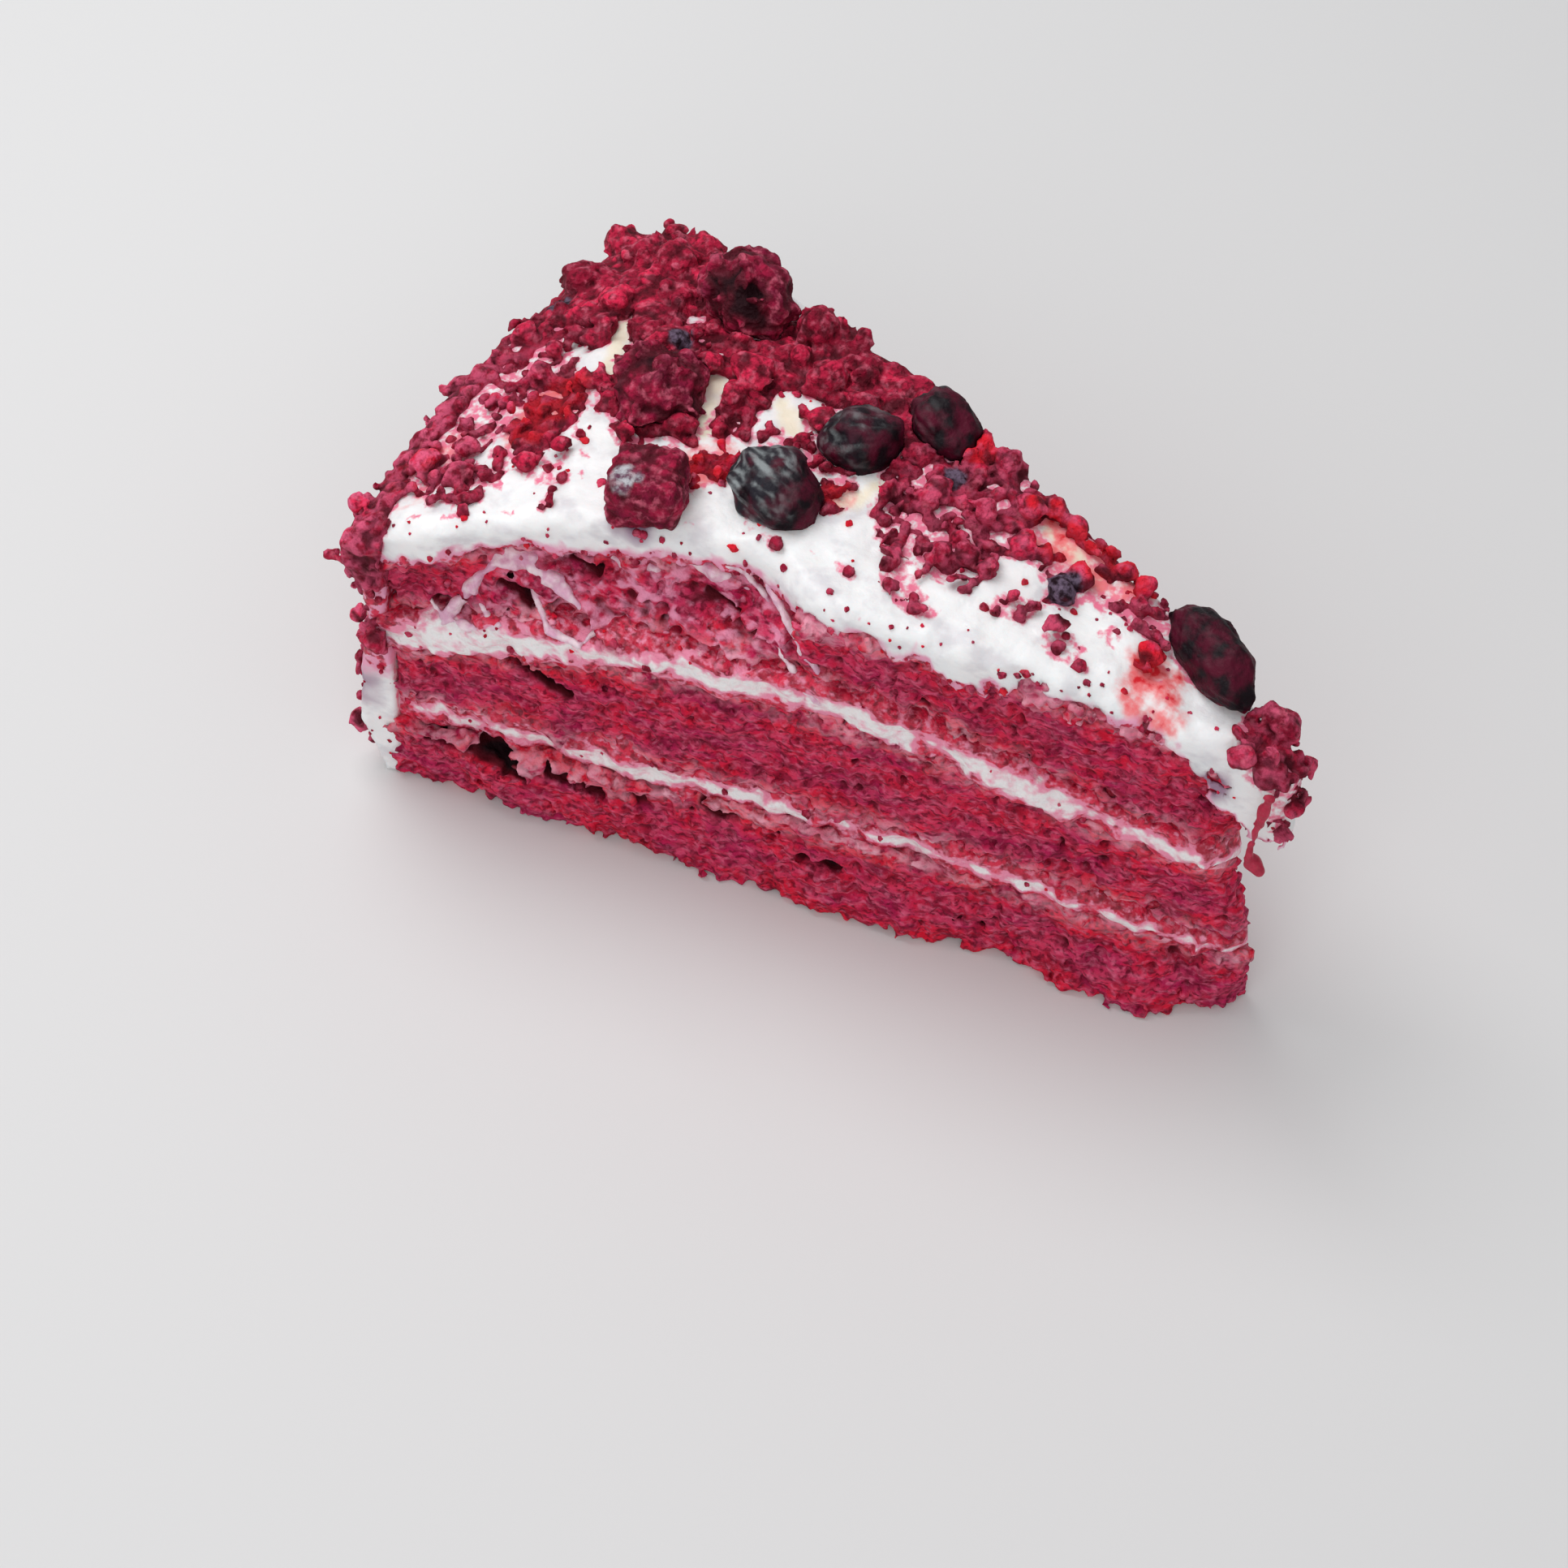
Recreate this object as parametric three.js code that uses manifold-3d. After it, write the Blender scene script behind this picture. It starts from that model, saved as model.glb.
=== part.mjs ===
// A cut slice of red velvet layer cake: three sponges, two cream fillings, and a white frosting
// over the top, the rim and the tip, with cake crumbs pressed into it and dark berries on top.
//
// The slice is described from the cake's own axis: r is the distance from that axis, phi is the
// angle from the slice's middle line (minus towards the front cut face), and z is the height.
// Lengths are in millimetres and +Z is up. The rim is at -X, the tip at +X, the base at z = 0.

import * as THREE from 'three';
import { mergeVertices } from 'three/addons/utils/BufferGeometryUtils.js';
import { ImprovedNoise } from 'three/addons/math/ImprovedNoise.js';
import Module from 'manifold-3d';

// ---------------------------------------------------------------- driving dimensions

const AXIS_X = 66; // where the cake's axis stands, so that the slice's middle is near the origin
const WEDGE_ANGLE = 31; // degrees between the two cut faces
const SPONGE_RADIUS = 121.5;
const GAP = 0.3; // between pieces that touch

// The sponges and fillings from the base up. `top` gives the height of the upper boundary as
// [r, z] from the rim to the tip, `lower` and `upper` give how far the cut faces stand out at
// the layer's two edges as [r, offset], and `tip` is the radius where they end at the tip.
const LAYERS = [
  {
    name: 'sponge_bottom',
    top: [[121, 11.5], [92, 13], [62, 15.6], [44, 15.2], [24, 13.4], [8, 10.8]],
    lower: [[121, 0.5], [98, 1.6], [72, 3.4], [49, 4.2], [38, 2.6], [18, 5.6], [8, 0.8]],
    upper: [[121, 1], [106, 2.8], [80, 2.6], [44, 2], [20, 1], [8, 0]],
    tip: [7.5, 7],
    rim: 0,
    roughness: 0.7,
  },
  {
    name: 'filling_lower',
    top: [[121, 15.8], [92, 18], [62, 18.8], [44, 18.2], [24, 16], [8, 13.6]],
    lower: [[121, -0.8], [80, 0.4], [40, 0.8], [8, -0.2]],
    upper: [[121, -1], [80, 0.2], [40, 0.8], [8, -0.2]],
    tip: [9, 9.5],
    rim: -0.6,
    roughness: 0.4,
  },
  {
    name: 'sponge_middle',
    top: [[121, 25], [100, 32.4], [82, 36.4], [64, 36.8], [44, 33.8], [26, 30], [8, 28]],
    lower: [[121, 0.4], [84, 1.4], [50, 1], [8, 0]],
    upper: [[121, 0], [84, 0.8], [50, 0.6], [8, 0]],
    tip: [9.5, 14],
    rim: -0.2,
    roughness: 0.7,
  },
  {
    name: 'filling_upper',
    top: [[121, 32.5], [100, 38.4], [80, 41.6], [52, 41.4], [34, 36.6], [8, 30.6]],
    lower: [[121, 0.6], [80, 0.8], [40, 0.2], [8, 0]],
    upper: [[121, 0.6], [80, 0.6], [40, 0.2], [8, 0]],
    tip: [14.5, 15],
    rim: -0.4,
    roughness: 0.4,
  },
  {
    name: 'sponge_top',
    top: [[121, 42.5], [104, 47.8], [80, 51.4], [50, 53], [22, 50.5], [10, 46]],
    lower: [[121, 0], [80, -0.4], [40, 0], [8, 0]],
    upper: [[121, 0], [80, -0.6], [40, 0], [8, 0]],
    tip: [14.5, 13],
    rim: -0.8,
    roughness: 0.7,
  },
];

// The front of the top sponge and of the frosting on it is torn away near the rim: how far the
// tear goes in, as [r, depth].
const TORN_DEPTH = [[121, 0], [114, 1], [105, 3.8], [93, 5.2], [78, 6.4], [71, 5.6], [65, 1], [62, 0]];

// The frosting. Its height and its thickness over the rim are [r, z] and [z, thickness]; the
// hangs are how far its edge runs down over the top sponge, as [r, length].
const FROSTING_TOP = [[125, 45.5], [114, 50], [96, 54.5], [66, 57], [36, 56], [16, 53], [4, 50]];
const RIM_THICKNESS = [[0, 1.6], [4, 3], [10, 4.4], [20, 3.8], [32, 2], [41, 3.8], [48, 3.4]];
const FRONT_HANG = [[121, 0.2], [84, 0.2], [64, 1.6], [46, 4.6], [37, 0.8], [20, 1], [14, 5], [8, 9]];
const BACK_HANG = [[121, 0.8], [100, 3], [84, 0.8], [56, 2.5], [36, 0.5], [20, 1], [14, 5], [8, 9]];
const FROSTING_OVERHANG = 0.9; // how far its edge stands out of the cut faces
const FROSTING_TIP = 8; // the radius where the rounding of its tip starts
const FROSTING_TIP_REACH = 3.6;
const EDGE_ROUNDING = 2.6;
const FOOT_CLEARANCE = 0.4; // from the base up to the frosting on the rim

// The toppings as large as berries: where they lie, their size, their turn about Z in degrees,
// the share of their height that is sunk in the frosting, and how lumpy they are.
const TOPPINGS = [
  { name: 'berry_large', at: [-9.4, -5.8], size: [13.5, 10, 9], turn: -25, sunk: 0.3, lumps: 0.12 },
  { name: 'berry_round', at: [-5.5, 7], size: [11, 9, 8.5], turn: 35, sunk: 0.3, lumps: 0.12 },
  { name: 'berry_back', at: [1.4, 15], size: [10.5, 8, 7], turn: -20, sunk: 0.2, lumps: 0.16 },
  { name: 'berry_long', at: [46.4, 4.8], size: [16, 7.4, 8], turn: -28, sunk: 0.25, lumps: 0.14 },
  { name: 'chunk_square', at: [-22.4, -14.6], size: [10, 9.5, 7.5], turn: 20, sunk: 0.2, lumps: 0.22 },
  { name: 'chunk_corner', at: [-31.6, 20.4], size: [15, 11, 10.5], turn: -30, sunk: 0.15, lumps: 0.26 },
  { name: 'chunk_middle', at: [-32, 1.4], size: [12, 13, 8], turn: 50, sunk: 0.2, lumps: 0.26 },
];

// The crumbs pressed into the frosting, over its top, round its rim and round its tip.
const TOP_CRUMBS = 92;
const RIM_CRUMBS = 60;
const TIP_CRUMBS = 7;
const CRUMB_SIZES = { smallest: 2.8, largest: 8.4 };
const CRUMB_SEED = 11;

// How many steps the outlines take.
const FACE_STEPS = 30;
const RIM_STEPS = 14;
const TIP_STEPS = 4;

const SPONGE_COLOUR = 0x8e2340;
const CREAM_COLOUR = 0xece6e6;
const BERRY_COLOUR = 0x35151d;
const CHUNK_COLOUR = 0x5a1226;

// ---------------------------------------------------------------- small helpers

const HALF_ANGLE = THREE.MathUtils.degToRad(WEDGE_ANGLE / 2);
const { lerp, smoothstep } = THREE.MathUtils;
const noise = new ImprovedNoise();
const wasm = await Module();
wasm.setup();

/** A soft noise of about -amount to amount, whose bumps are `scale` across. */
function bumps(x, y, z, scale, amount) {
  return amount * 1.6 * noise.noise(x / scale + 31.7, y / scale + 17.3, z / scale + 53.1);
}

/** The value at `place` on a smooth curve through knots of [place, value]. */
function along(knots, place) {
  const ordered = knots[0][0] < knots.at(-1)[0] ? knots : knots.toReversed();
  const last = ordered.length - 1;
  const at = THREE.MathUtils.clamp(place, ordered[0][0], ordered[last][0]);
  const i = Math.max(1, ordered.findIndex(([knot]) => at <= knot));
  const slope = (k) => {
    const [before, after] = [ordered[Math.max(k - 1, 0)], ordered[Math.min(k + 1, last)]];
    return (after[1] - before[1]) / (after[0] - before[0]);
  };
  const [x0, y0] = ordered[i - 1];
  const [x1, y1] = ordered[i];
  const width = x1 - x0;
  const t = (at - x0) / width;
  const fromStart = (1 + 2 * t) * (1 - t) ** 2 * y0 + t * (1 - t) ** 2 * width * slope(i - 1);
  const fromEnd = t * t * (3 - 2 * t) * y1 + t * t * (t - 1) * width * slope(i);
  return fromStart + fromEnd;
}

/** A repeatable generator of numbers from 0 to 1. */
function makeRandom(seed) {
  let state = seed;
  return () => {
    state = (state + 0x6d2b79f5) | 0;
    let mixed = Math.imul(state ^ (state >>> 15), 1 | state);
    mixed = (mixed + Math.imul(mixed ^ (mixed >>> 7), 61 | mixed)) ^ mixed;
    return ((mixed ^ (mixed >>> 14)) >>> 0) / 2 ** 32;
  };
}

/** The point [x, y] at r and phi, moved out of a cut face: side is -1 in front and 1 behind. */
function planPoint(r, phi, side = 0, offset = 0) {
  const x = AXIS_X - r * Math.cos(phi) + Math.abs(side) * offset * Math.sin(HALF_ANGLE);
  return [x, r * Math.sin(phi) + side * offset * Math.cos(HALF_ANGLE)];
}

const radiusAt = (x, y) => Math.hypot(AXIS_X - x, y);
const angleAt = (x, y) => Math.atan2(y, AXIS_X - x);

// ---------------------------------------------------------------- meshes and solids

function geometryFrom(points, triangles) {
  const geometry = new THREE.BufferGeometry();
  geometry.setAttribute('position', new THREE.Float32BufferAttribute(points.flat(), 3));
  geometry.setIndex(triangles.flat());
  return geometry;
}

function toSolid(geometry) {
  return new wasm.Manifold(new wasm.Mesh({
    numProp: 3,
    vertProperties: new Float32Array(geometry.getAttribute('position').array),
    triVerts: new Uint32Array(geometry.getIndex().array),
  }));
}

function toGeometry(solid) {
  const mesh = solid.getMesh();
  const geometry = new THREE.BufferGeometry();
  geometry.setAttribute('position', new THREE.BufferAttribute(mesh.vertProperties, 3));
  geometry.setIndex(new THREE.BufferAttribute(mesh.triVerts, 1));
  return geometry;
}

/** The largest body of a solid, without its loose scraps and sealed hollows. */
function largestBody(solid) {
  return solid.decompose().reduce((best, body) => (body.volume() > best.volume() ? body : best));
}

/** A ball of the given subdivision with its shared vertices merged. */
function ballGeometry(detail) {
  const ball = new THREE.IcosahedronGeometry(1, detail);
  ball.deleteAttribute('normal');
  ball.deleteAttribute('uv');
  return mergeVertices(ball, 1e-4);
}

// ---------------------------------------------------------------- the slice's outline

/**
 * The outline of the slice at one height: the front face from the rim to the tip, round the tip,
 * the back face to the rim, and the rim back to the start. Each point has its x and y, the r
 * that heights are read at, and its side, from -1 at the front face to 1 at the back face.
 */
function sliceOutline({ rimRadius, tipRadius, tipReach, faceOffset }) {
  const radii = Array.from({ length: FACE_STEPS + 1 }, (_, i) => lerp(rimRadius, tipRadius, i / FACE_STEPS));
  const facePoint = (r, side) => {
    const [x, y] = planPoint(r, side * HALF_ANGLE, side, faceOffset(r, side));
    return { x, y, r, side };
  };
  const front = radii.map((r) => facePoint(r, -1));
  const back = radii.map((r) => facePoint(r, 1)).reverse();

  const tip = [];
  for (let i = 1; i < TIP_STEPS; i++) {
    const turn = Math.PI * (i / TIP_STEPS);
    const share = (1 - Math.cos(turn)) / 2;
    const x = lerp(front.at(-1).x, back[0].x, share) + tipReach * Math.sin(turn);
    tip.push({ x, y: lerp(front.at(-1).y, back[0].y, share), r: tipRadius, side: 2 * share - 1 });
  }

  const rim = [];
  const fromPhi = angleAt(back.at(-1).x, back.at(-1).y);
  const toPhi = angleAt(front[0].x, front[0].y);
  for (let i = 1; i < RIM_STEPS; i++) {
    const [x, y] = planPoint(rimRadius, lerp(fromPhi, toPhi, i / RIM_STEPS));
    rim.push({ x, y, r: rimRadius, side: 1 - (2 * i) / RIM_STEPS });
  }
  return [...front, ...tip, ...back, ...rim];
}

/** The triangles between two rings of points, the second one above or inside the first. */
function band(first, second, count) {
  const triangles = [];
  for (let i = 0; i < count; i++) {
    const j = (i + 1) % count;
    triangles.push([first + i, first + j, second + j], [first + i, second + j, second + i]);
  }
  return triangles;
}

/** A cap of straight rungs from the front face to the back face, with fans at tip and rim. */
function rungCap(first, facingUp) {
  const triangles = [];
  const tip = first + FACE_STEPS;
  const back = first + 2 * FACE_STEPS + TIP_STEPS;
  for (let i = 0; i < FACE_STEPS; i++) {
    triangles.push([first + i, first + i + 1, back - i - 1], [first + i, back - i - 1, back - i]);
  }
  for (let i = 1; i < TIP_STEPS; i++) triangles.push([tip, tip + i, tip + i + 1]);
  for (let i = 0; i < RIM_STEPS - 1; i++) triangles.push([first, back + i, back + i + 1]);
  return facingUp ? triangles : triangles.map(([a, b, c]) => [a, c, b]);
}

/** A solid slab of the slice, through outlines at shares of the way from bottom to top. */
function slabGeometry({ bottom, top, outlineAt, shares }) {
  const outlines = shares.map(outlineAt);
  const count = outlines[0].length;
  const points = outlines.flatMap((outline, k) =>
    outline.map((point) => [point.x, point.y, lerp(bottom(point), top(point), shares[k])]));
  const triangles = rungCap(0, false);
  for (let k = 1; k < shares.length; k++) triangles.push(...band((k - 1) * count, k * count, count));
  triangles.push(...rungCap((shares.length - 1) * count, true));
  return geometryFrom(points, triangles);
}

// ---------------------------------------------------------------- sponges and fillings

/** How far the tear goes into the front face, at a share of the top sponge's height. */
function tornDepth(r, share) {
  const ragged = 1 + bumps(r, 0, share * 9, 6, 0.2);
  return along(TORN_DEPTH, r) * ragged * smoothstep(share, 0.05, 0.8);
}

/** The outline of a layer at a share of its height, grown by `grow` for what is cut round it. */
function layerOutline(layer, share, grow = 0) {
  const depth = LAYERS.indexOf(layer) * 11 + share * 2.5;
  const faceOffset = (r, side) => {
    const form = lerp(along(layer.lower, r), along(layer.upper, r), share);
    const torn = layer.name === 'sponge_top' && side < 0 ? tornDepth(r, share) : 0;
    return form - torn + bumps(r, side * 40, depth, 6, layer.roughness) + grow;
  };
  const tipRadius = lerp(...layer.tip, share);
  return sliceOutline({
    rimRadius: SPONGE_RADIUS + layer.rim + grow,
    tipRadius,
    tipReach: tipRadius * Math.sin(HALF_ANGLE) * 0.7 + grow,
    faceOffset,
  });
}

/** The height of the boundary above a layer, with waves that differ from front to back. */
function boundaryHeight(layer, { r, side }) {
  return along(layer.top, r) + bumps(r, side * 20, LAYERS.indexOf(layer) * 13, 13, 0.5);
}

function layerGeometry(layer, grow = 0) {
  const below = LAYERS[LAYERS.indexOf(layer) - 1];
  const isSponge = layer.name.startsWith('sponge');
  return slabGeometry({
    bottom: (point) => (below ? boundaryHeight(below, point) + GAP - grow : 0),
    top: (point) => boundaryHeight(layer, point) + grow,
    outlineAt: (share) => layerOutline(layer, share, grow),
    shares: isSponge ? [0, 0.3, 0.65, 1] : [0, 0.5, 1],
  });
}

// ---------------------------------------------------------------- frosting

/** The height of the bare frosting, with its soft waves. */
function frostingHeight(x, y) {
  return along(FROSTING_TOP, radiusAt(x, y)) + bumps(x, y, 0, 14, 0.7) + bumps(x, y, 9, 6, 0.25);
}

/** The outline of the bare frosting at a height, drawn in by `inset` over its rounded edge. */
function frostingOutline(z, inset) {
  return sliceOutline({
    rimRadius: SPONGE_RADIUS + along(RIM_THICKNESS, z) - inset,
    tipRadius: FROSTING_TIP,
    tipReach: FROSTING_TIP_REACH - inset,
    faceOffset: (r, side) => {
      const torn = side < 0 ? tornDepth(r, 1) : 0;
      return FROSTING_OVERHANG - torn - inset + bumps(r, side * 30, z, 8, 0.5);
    },
  });
}

/** The index on a spine of FACE_STEPS + 1 points that faces a point of the outline. */
function spineIndex(i) {
  const backStart = FACE_STEPS + TIP_STEPS;
  if (i <= FACE_STEPS) return i;
  if (i < backStart) return FACE_STEPS;
  return Math.max(2 * FACE_STEPS + TIP_STEPS - i, 0);
}

/** A wavy top on a ring of points: two rings drawn in from it, and a spine down the middle. */
function wavyCap(points, first, count) {
  const middleX = 8;
  const outline = points.slice(first, first + count);
  const triangles = [];
  const addPoint = ([outerX, outerY], lengthShare, widthShare) => {
    const x = lerp(middleX, outerX, lengthShare);
    const y = outerY * widthShare;
    return points.push([x, y, frostingHeight(x, y)]) - 1;
  };
  let previous = first;
  for (const [lengthShare, widthShare] of [[0.94, 0.7], [0.88, 0.36]]) {
    const next = points.length;
    for (const point of outline) addPoint(point, lengthShare, widthShare);
    triangles.push(...band(previous, next, count));
    previous = next;
  }
  const spine = points.length;
  for (const point of outline.slice(0, FACE_STEPS + 1)) addPoint(point, 0.82, 0);
  for (let i = 0; i < count; i++) {
    const j = (i + 1) % count;
    const [a, b] = [spine + spineIndex(i), spine + spineIndex(j)];
    triangles.push([previous + i, previous + j, b]);
    if (a !== b) triangles.push([previous + i, b, a]);
  }
  return triangles;
}

/** A closed body with the frosting's outer form, solid down to its foot. */
function frostingEnvelope() {
  const sideHeights = [FOOT_CLEARANCE, 10, 20, 31, 40];
  const edgeInsets = [0, EDGE_ROUNDING * 0.3, EDGE_ROUNDING];
  const sideRings = sideHeights.map((z) => frostingOutline(z, 0).map(({ x, y }) => [x, y, z]));
  const edgeRings = edgeInsets.map((inset) => {
    const drop = EDGE_ROUNDING - Math.sqrt(EDGE_ROUNDING ** 2 - (EDGE_ROUNDING - inset) ** 2);
    const outline = frostingOutline(sideHeights.at(-1), inset);
    return outline.map(({ x, y }) => [x, y, frostingHeight(x, y) - drop]);
  });
  const rings = [...sideRings, ...edgeRings];
  const count = rings[0].length;
  const points = rings.flat();
  const triangles = rungCap(0, false);
  for (let k = 1; k < rings.length; k++) triangles.push(...band((k - 1) * count, k * count, count));
  triangles.push(...wavyCap(points, (rings.length - 1) * count, count));
  return toSolid(geometryFrom(points, triangles));
}

/** What the frosting leaves free: the top sponge, and all of the cut faces below its edge. */
function frostingCutters() {
  const topSponge = LAYERS.at(-1);
  const farOut = 15;
  const edge = ({ r, side }) => lerp(along(FRONT_HANG, r), along(BACK_HANG, r), (1 + side) / 2);
  const belowEdge = slabGeometry({
    bottom: () => -1,
    top: (point) => boundaryHeight(topSponge, point) + GAP - edge(point),
    outlineAt: () => sliceOutline({
      rimRadius: SPONGE_RADIUS + GAP,
      tipRadius: FROSTING_TIP,
      tipReach: farOut,
      faceOffset: () => farOut,
    }),
    shares: [0, 1],
  });
  return toSolid(belowEdge).add(toSolid(layerGeometry(topSponge, GAP)));
}

// ---------------------------------------------------------------- toppings and crumbs

/** A lumpy closed blob: a ball scaled to size, pushed in and out by noise, turned and placed. */
function blobSolid({ size, lumps, detail, centre, turn, phase }) {
  const ball = ballGeometry(detail);
  const position = ball.getAttribute('position');
  const point = new THREE.Vector3();
  const scale = new THREE.Vector3(...size).multiplyScalar(0.5);
  for (let i = 0; i < position.count; i++) {
    point.fromBufferAttribute(position, i);
    point.multiplyScalar(1 + bumps(point.x, point.y, point.z + phase, 0.55, lumps));
    position.setXYZ(i, point.x, point.y, point.z);
  }
  const placing = new THREE.Matrix4().compose(centre, new THREE.Quaternion().setFromEuler(turn), scale);
  return toSolid(ball.applyMatrix4(placing));
}

/** A topping, or with `grow` the pocket that it lies in. */
function toppingSolid(topping, grow = 0) {
  const [x, y] = topping.at;
  const height = topping.size[2];
  return blobSolid({
    size: topping.size.map((length) => length + 2 * grow),
    lumps: topping.lumps,
    detail: 2,
    centre: new THREE.Vector3(x, y, frostingHeight(x, y) + height * (0.5 - topping.sunk)),
    turn: new THREE.Euler(0, 0, THREE.MathUtils.degToRad(topping.turn)),
    phase: TOPPINGS.indexOf(topping) * 5,
  });
}

/** How thickly the crumbs lie at a place on the top, from 0 to 1. */
function crumbDensity(r, phi) {
  const across = (phi + HALF_ANGLE) / (2 * HALF_ANGLE);
  const fromBack = r * Math.sin(HALF_ANGLE - phi);
  const heap = 1 - smoothstep(fromBack, 3, 13);
  const middle = 0.55 * smoothstep(across, 0.3, 0.7) * smoothstep(r, 45, 80);
  const rim = smoothstep(r, SPONGE_RADIUS - 9, SPONGE_RADIUS);
  const tip = 1 - smoothstep(r, 6, 13);
  return Math.max(heap, middle, rim, tip, 0.1);
}

/** The crumbs on the top: {centre, width}, larger where they lie thickly. */
function topCrumbPlaces(random) {
  const places = [];
  while (places.length < TOP_CRUMBS) {
    const r = Math.sqrt(lerp(5 ** 2, (SPONGE_RADIUS + 1) ** 2, random()));
    const phi = lerp(-1, 1, random()) * HALF_ANGLE * 0.97;
    const density = crumbDensity(r, phi);
    if (random() > density) continue;
    const width = lerp(CRUMB_SIZES.smallest, CRUMB_SIZES.largest, random() ** 1.2 * lerp(0.3, 1, density));
    const [x, y] = planPoint(r, phi);
    places.push({ centre: new THREE.Vector3(x, y, frostingHeight(x, y) + width * 0.12), width });
  }
  return places;
}

/** The crumbs round the rim, on the frosting's outer side. */
function rimCrumbPlaces(random) {
  return Array.from({ length: RIM_CRUMBS }, () => {
    const z = lerp(3.2, 45, random());
    const phi = lerp(-1, 1, random()) * HALF_ANGLE * 0.98;
    const width = lerp(CRUMB_SIZES.smallest, CRUMB_SIZES.largest * 0.8, random() ** 1.5);
    const [x, y] = planPoint(SPONGE_RADIUS + along(RIM_THICKNESS, z) + width * 0.12, phi);
    return { centre: new THREE.Vector3(x, y, Math.max(z, width * 0.55)), width };
  });
}

/** The crumbs that hang on the rounded tip, one above the other and to both sides. */
function tipCrumbPlaces(random) {
  return Array.from({ length: TIP_CRUMBS }, (_, i) => {
    const share = i / (TIP_CRUMBS - 1);
    const turn = lerp(-1.9, 1.9, random());
    const x = AXIS_X - FROSTING_TIP + FROSTING_TIP_REACH * 0.9 * Math.cos(turn);
    const y = FROSTING_TIP_REACH * 0.9 * Math.sin(turn);
    return { centre: new THREE.Vector3(x, y, lerp(41, 50.5, share)), width: lerp(4, 6.6, random()) };
  });
}

/** Whether a crumb keeps clear of the toppings that are nodes of their own. */
function clearOfToppings({ centre, width }) {
  return TOPPINGS.every(({ at: [x, y], size }) => {
    const reach = Math.max(size[0], size[1]) / 2 + width / 2;
    return Math.hypot(centre.x - x, centre.y - y) > reach;
  });
}

function crumbSolids() {
  const random = makeRandom(CRUMB_SEED);
  const allPlaces = [...topCrumbPlaces(random), ...rimCrumbPlaces(random), ...tipCrumbPlaces(random)];
  const places = allPlaces.filter(clearOfToppings);
  return places.map(({ centre, width }) => blobSolid({
    size: [width * lerp(0.8, 1.15, random()), width * lerp(0.8, 1.15, random()), width * 0.85],
    lumps: 0.3,
    detail: 0,
    centre,
    turn: new THREE.Euler(random() * 6.3, random() * 6.3, random() * 6.3),
    phase: random() * 90,
  }));
}

function frostingGeometry() {
  const withCrumbs = crumbSolids().reduce((whole, crumb) => whole.add(crumb), frostingEnvelope());
  const cutters = [frostingCutters(), ...TOPPINGS.map((topping) => toppingSolid(topping, GAP))];
  return toGeometry(largestBody(cutters.reduce((whole, cutter) => whole.subtract(cutter), withCrumbs)));
}

// ---------------------------------------------------------------- the cake

const slice = new THREE.Group();

function addPiece(name, geometry, color, roughness) {
  const material = new THREE.MeshStandardMaterial({ color, roughness, metalness: 0 });
  const mesh = new THREE.Mesh(geometry, material);
  mesh.name = name;
  slice.add(mesh);
}

for (const layer of LAYERS) {
  const isSponge = layer.name.startsWith('sponge');
  addPiece(layer.name, layerGeometry(layer), isSponge ? SPONGE_COLOUR : CREAM_COLOUR, isSponge ? 0.95 : 0.6);
}
addPiece('frosting', frostingGeometry(), CREAM_COLOUR, 0.5);
for (const topping of TOPPINGS) {
  const isBerry = topping.name.startsWith('berry');
  const colour = isBerry ? BERRY_COLOUR : CHUNK_COLOUR;
  addPiece(topping.name, toGeometry(toppingSolid(topping)), colour, isBerry ? 0.55 : 0.95);
}

export default slice;
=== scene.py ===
"""A cut slice of red velvet layer cake, dressed round its CAD solids.

The sponges, fillings, berries and chunks start from the solids as fields of distances, which
noise then roughens into crumb, pores, tears and wrinkles before they become meshes again. The
frosting and the crumbs on it follow the same named values as the solid that they replace.

Lengths are in millimetres up to add_piece(), which makes metres of them. r is the distance from
the cake's axis, phi is the angle from the slice's middle line, minus towards the front cut face,
and z is the height. The rim is at -X, the tip at +X, and the slice stands on z = 0.
"""

import math
from collections import namedtuple
from concurrent.futures import ThreadPoolExecutor
from itertools import product

import bmesh
import bpy
import numpy as np
import openvdb as vdb
from mathutils import Matrix, Vector


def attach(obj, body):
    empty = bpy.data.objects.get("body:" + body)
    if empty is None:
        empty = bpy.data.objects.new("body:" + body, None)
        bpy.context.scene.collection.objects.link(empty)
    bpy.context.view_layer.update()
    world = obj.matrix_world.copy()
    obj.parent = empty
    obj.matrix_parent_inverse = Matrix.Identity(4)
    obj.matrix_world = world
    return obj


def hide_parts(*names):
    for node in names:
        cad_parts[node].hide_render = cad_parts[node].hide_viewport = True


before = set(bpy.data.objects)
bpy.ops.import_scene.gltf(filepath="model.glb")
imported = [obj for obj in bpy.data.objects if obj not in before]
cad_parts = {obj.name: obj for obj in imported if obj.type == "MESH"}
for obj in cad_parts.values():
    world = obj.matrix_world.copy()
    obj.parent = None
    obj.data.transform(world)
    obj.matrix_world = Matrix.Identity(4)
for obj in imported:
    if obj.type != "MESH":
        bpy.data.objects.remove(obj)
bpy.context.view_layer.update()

# ---------------------------------------------------------------- driving dimensions

METRES = 0.001
AXIS_X = 66.0  # where the cake's axis stands
HALF_ANGLE = math.radians(31 / 2)  # from the middle line to each cut face
SPONGE_RADIUS = 121.5
FRONT, BACK = -1, 1

# The front face is torn away near the rim: how far the tear goes in, as [r, depth].
TORN_DEPTH = [[121, 0], [114, 1], [105, 3.8], [93, 5.2], [78, 6.4], [71, 5.6], [65, 1], [62, 0]]

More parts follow.
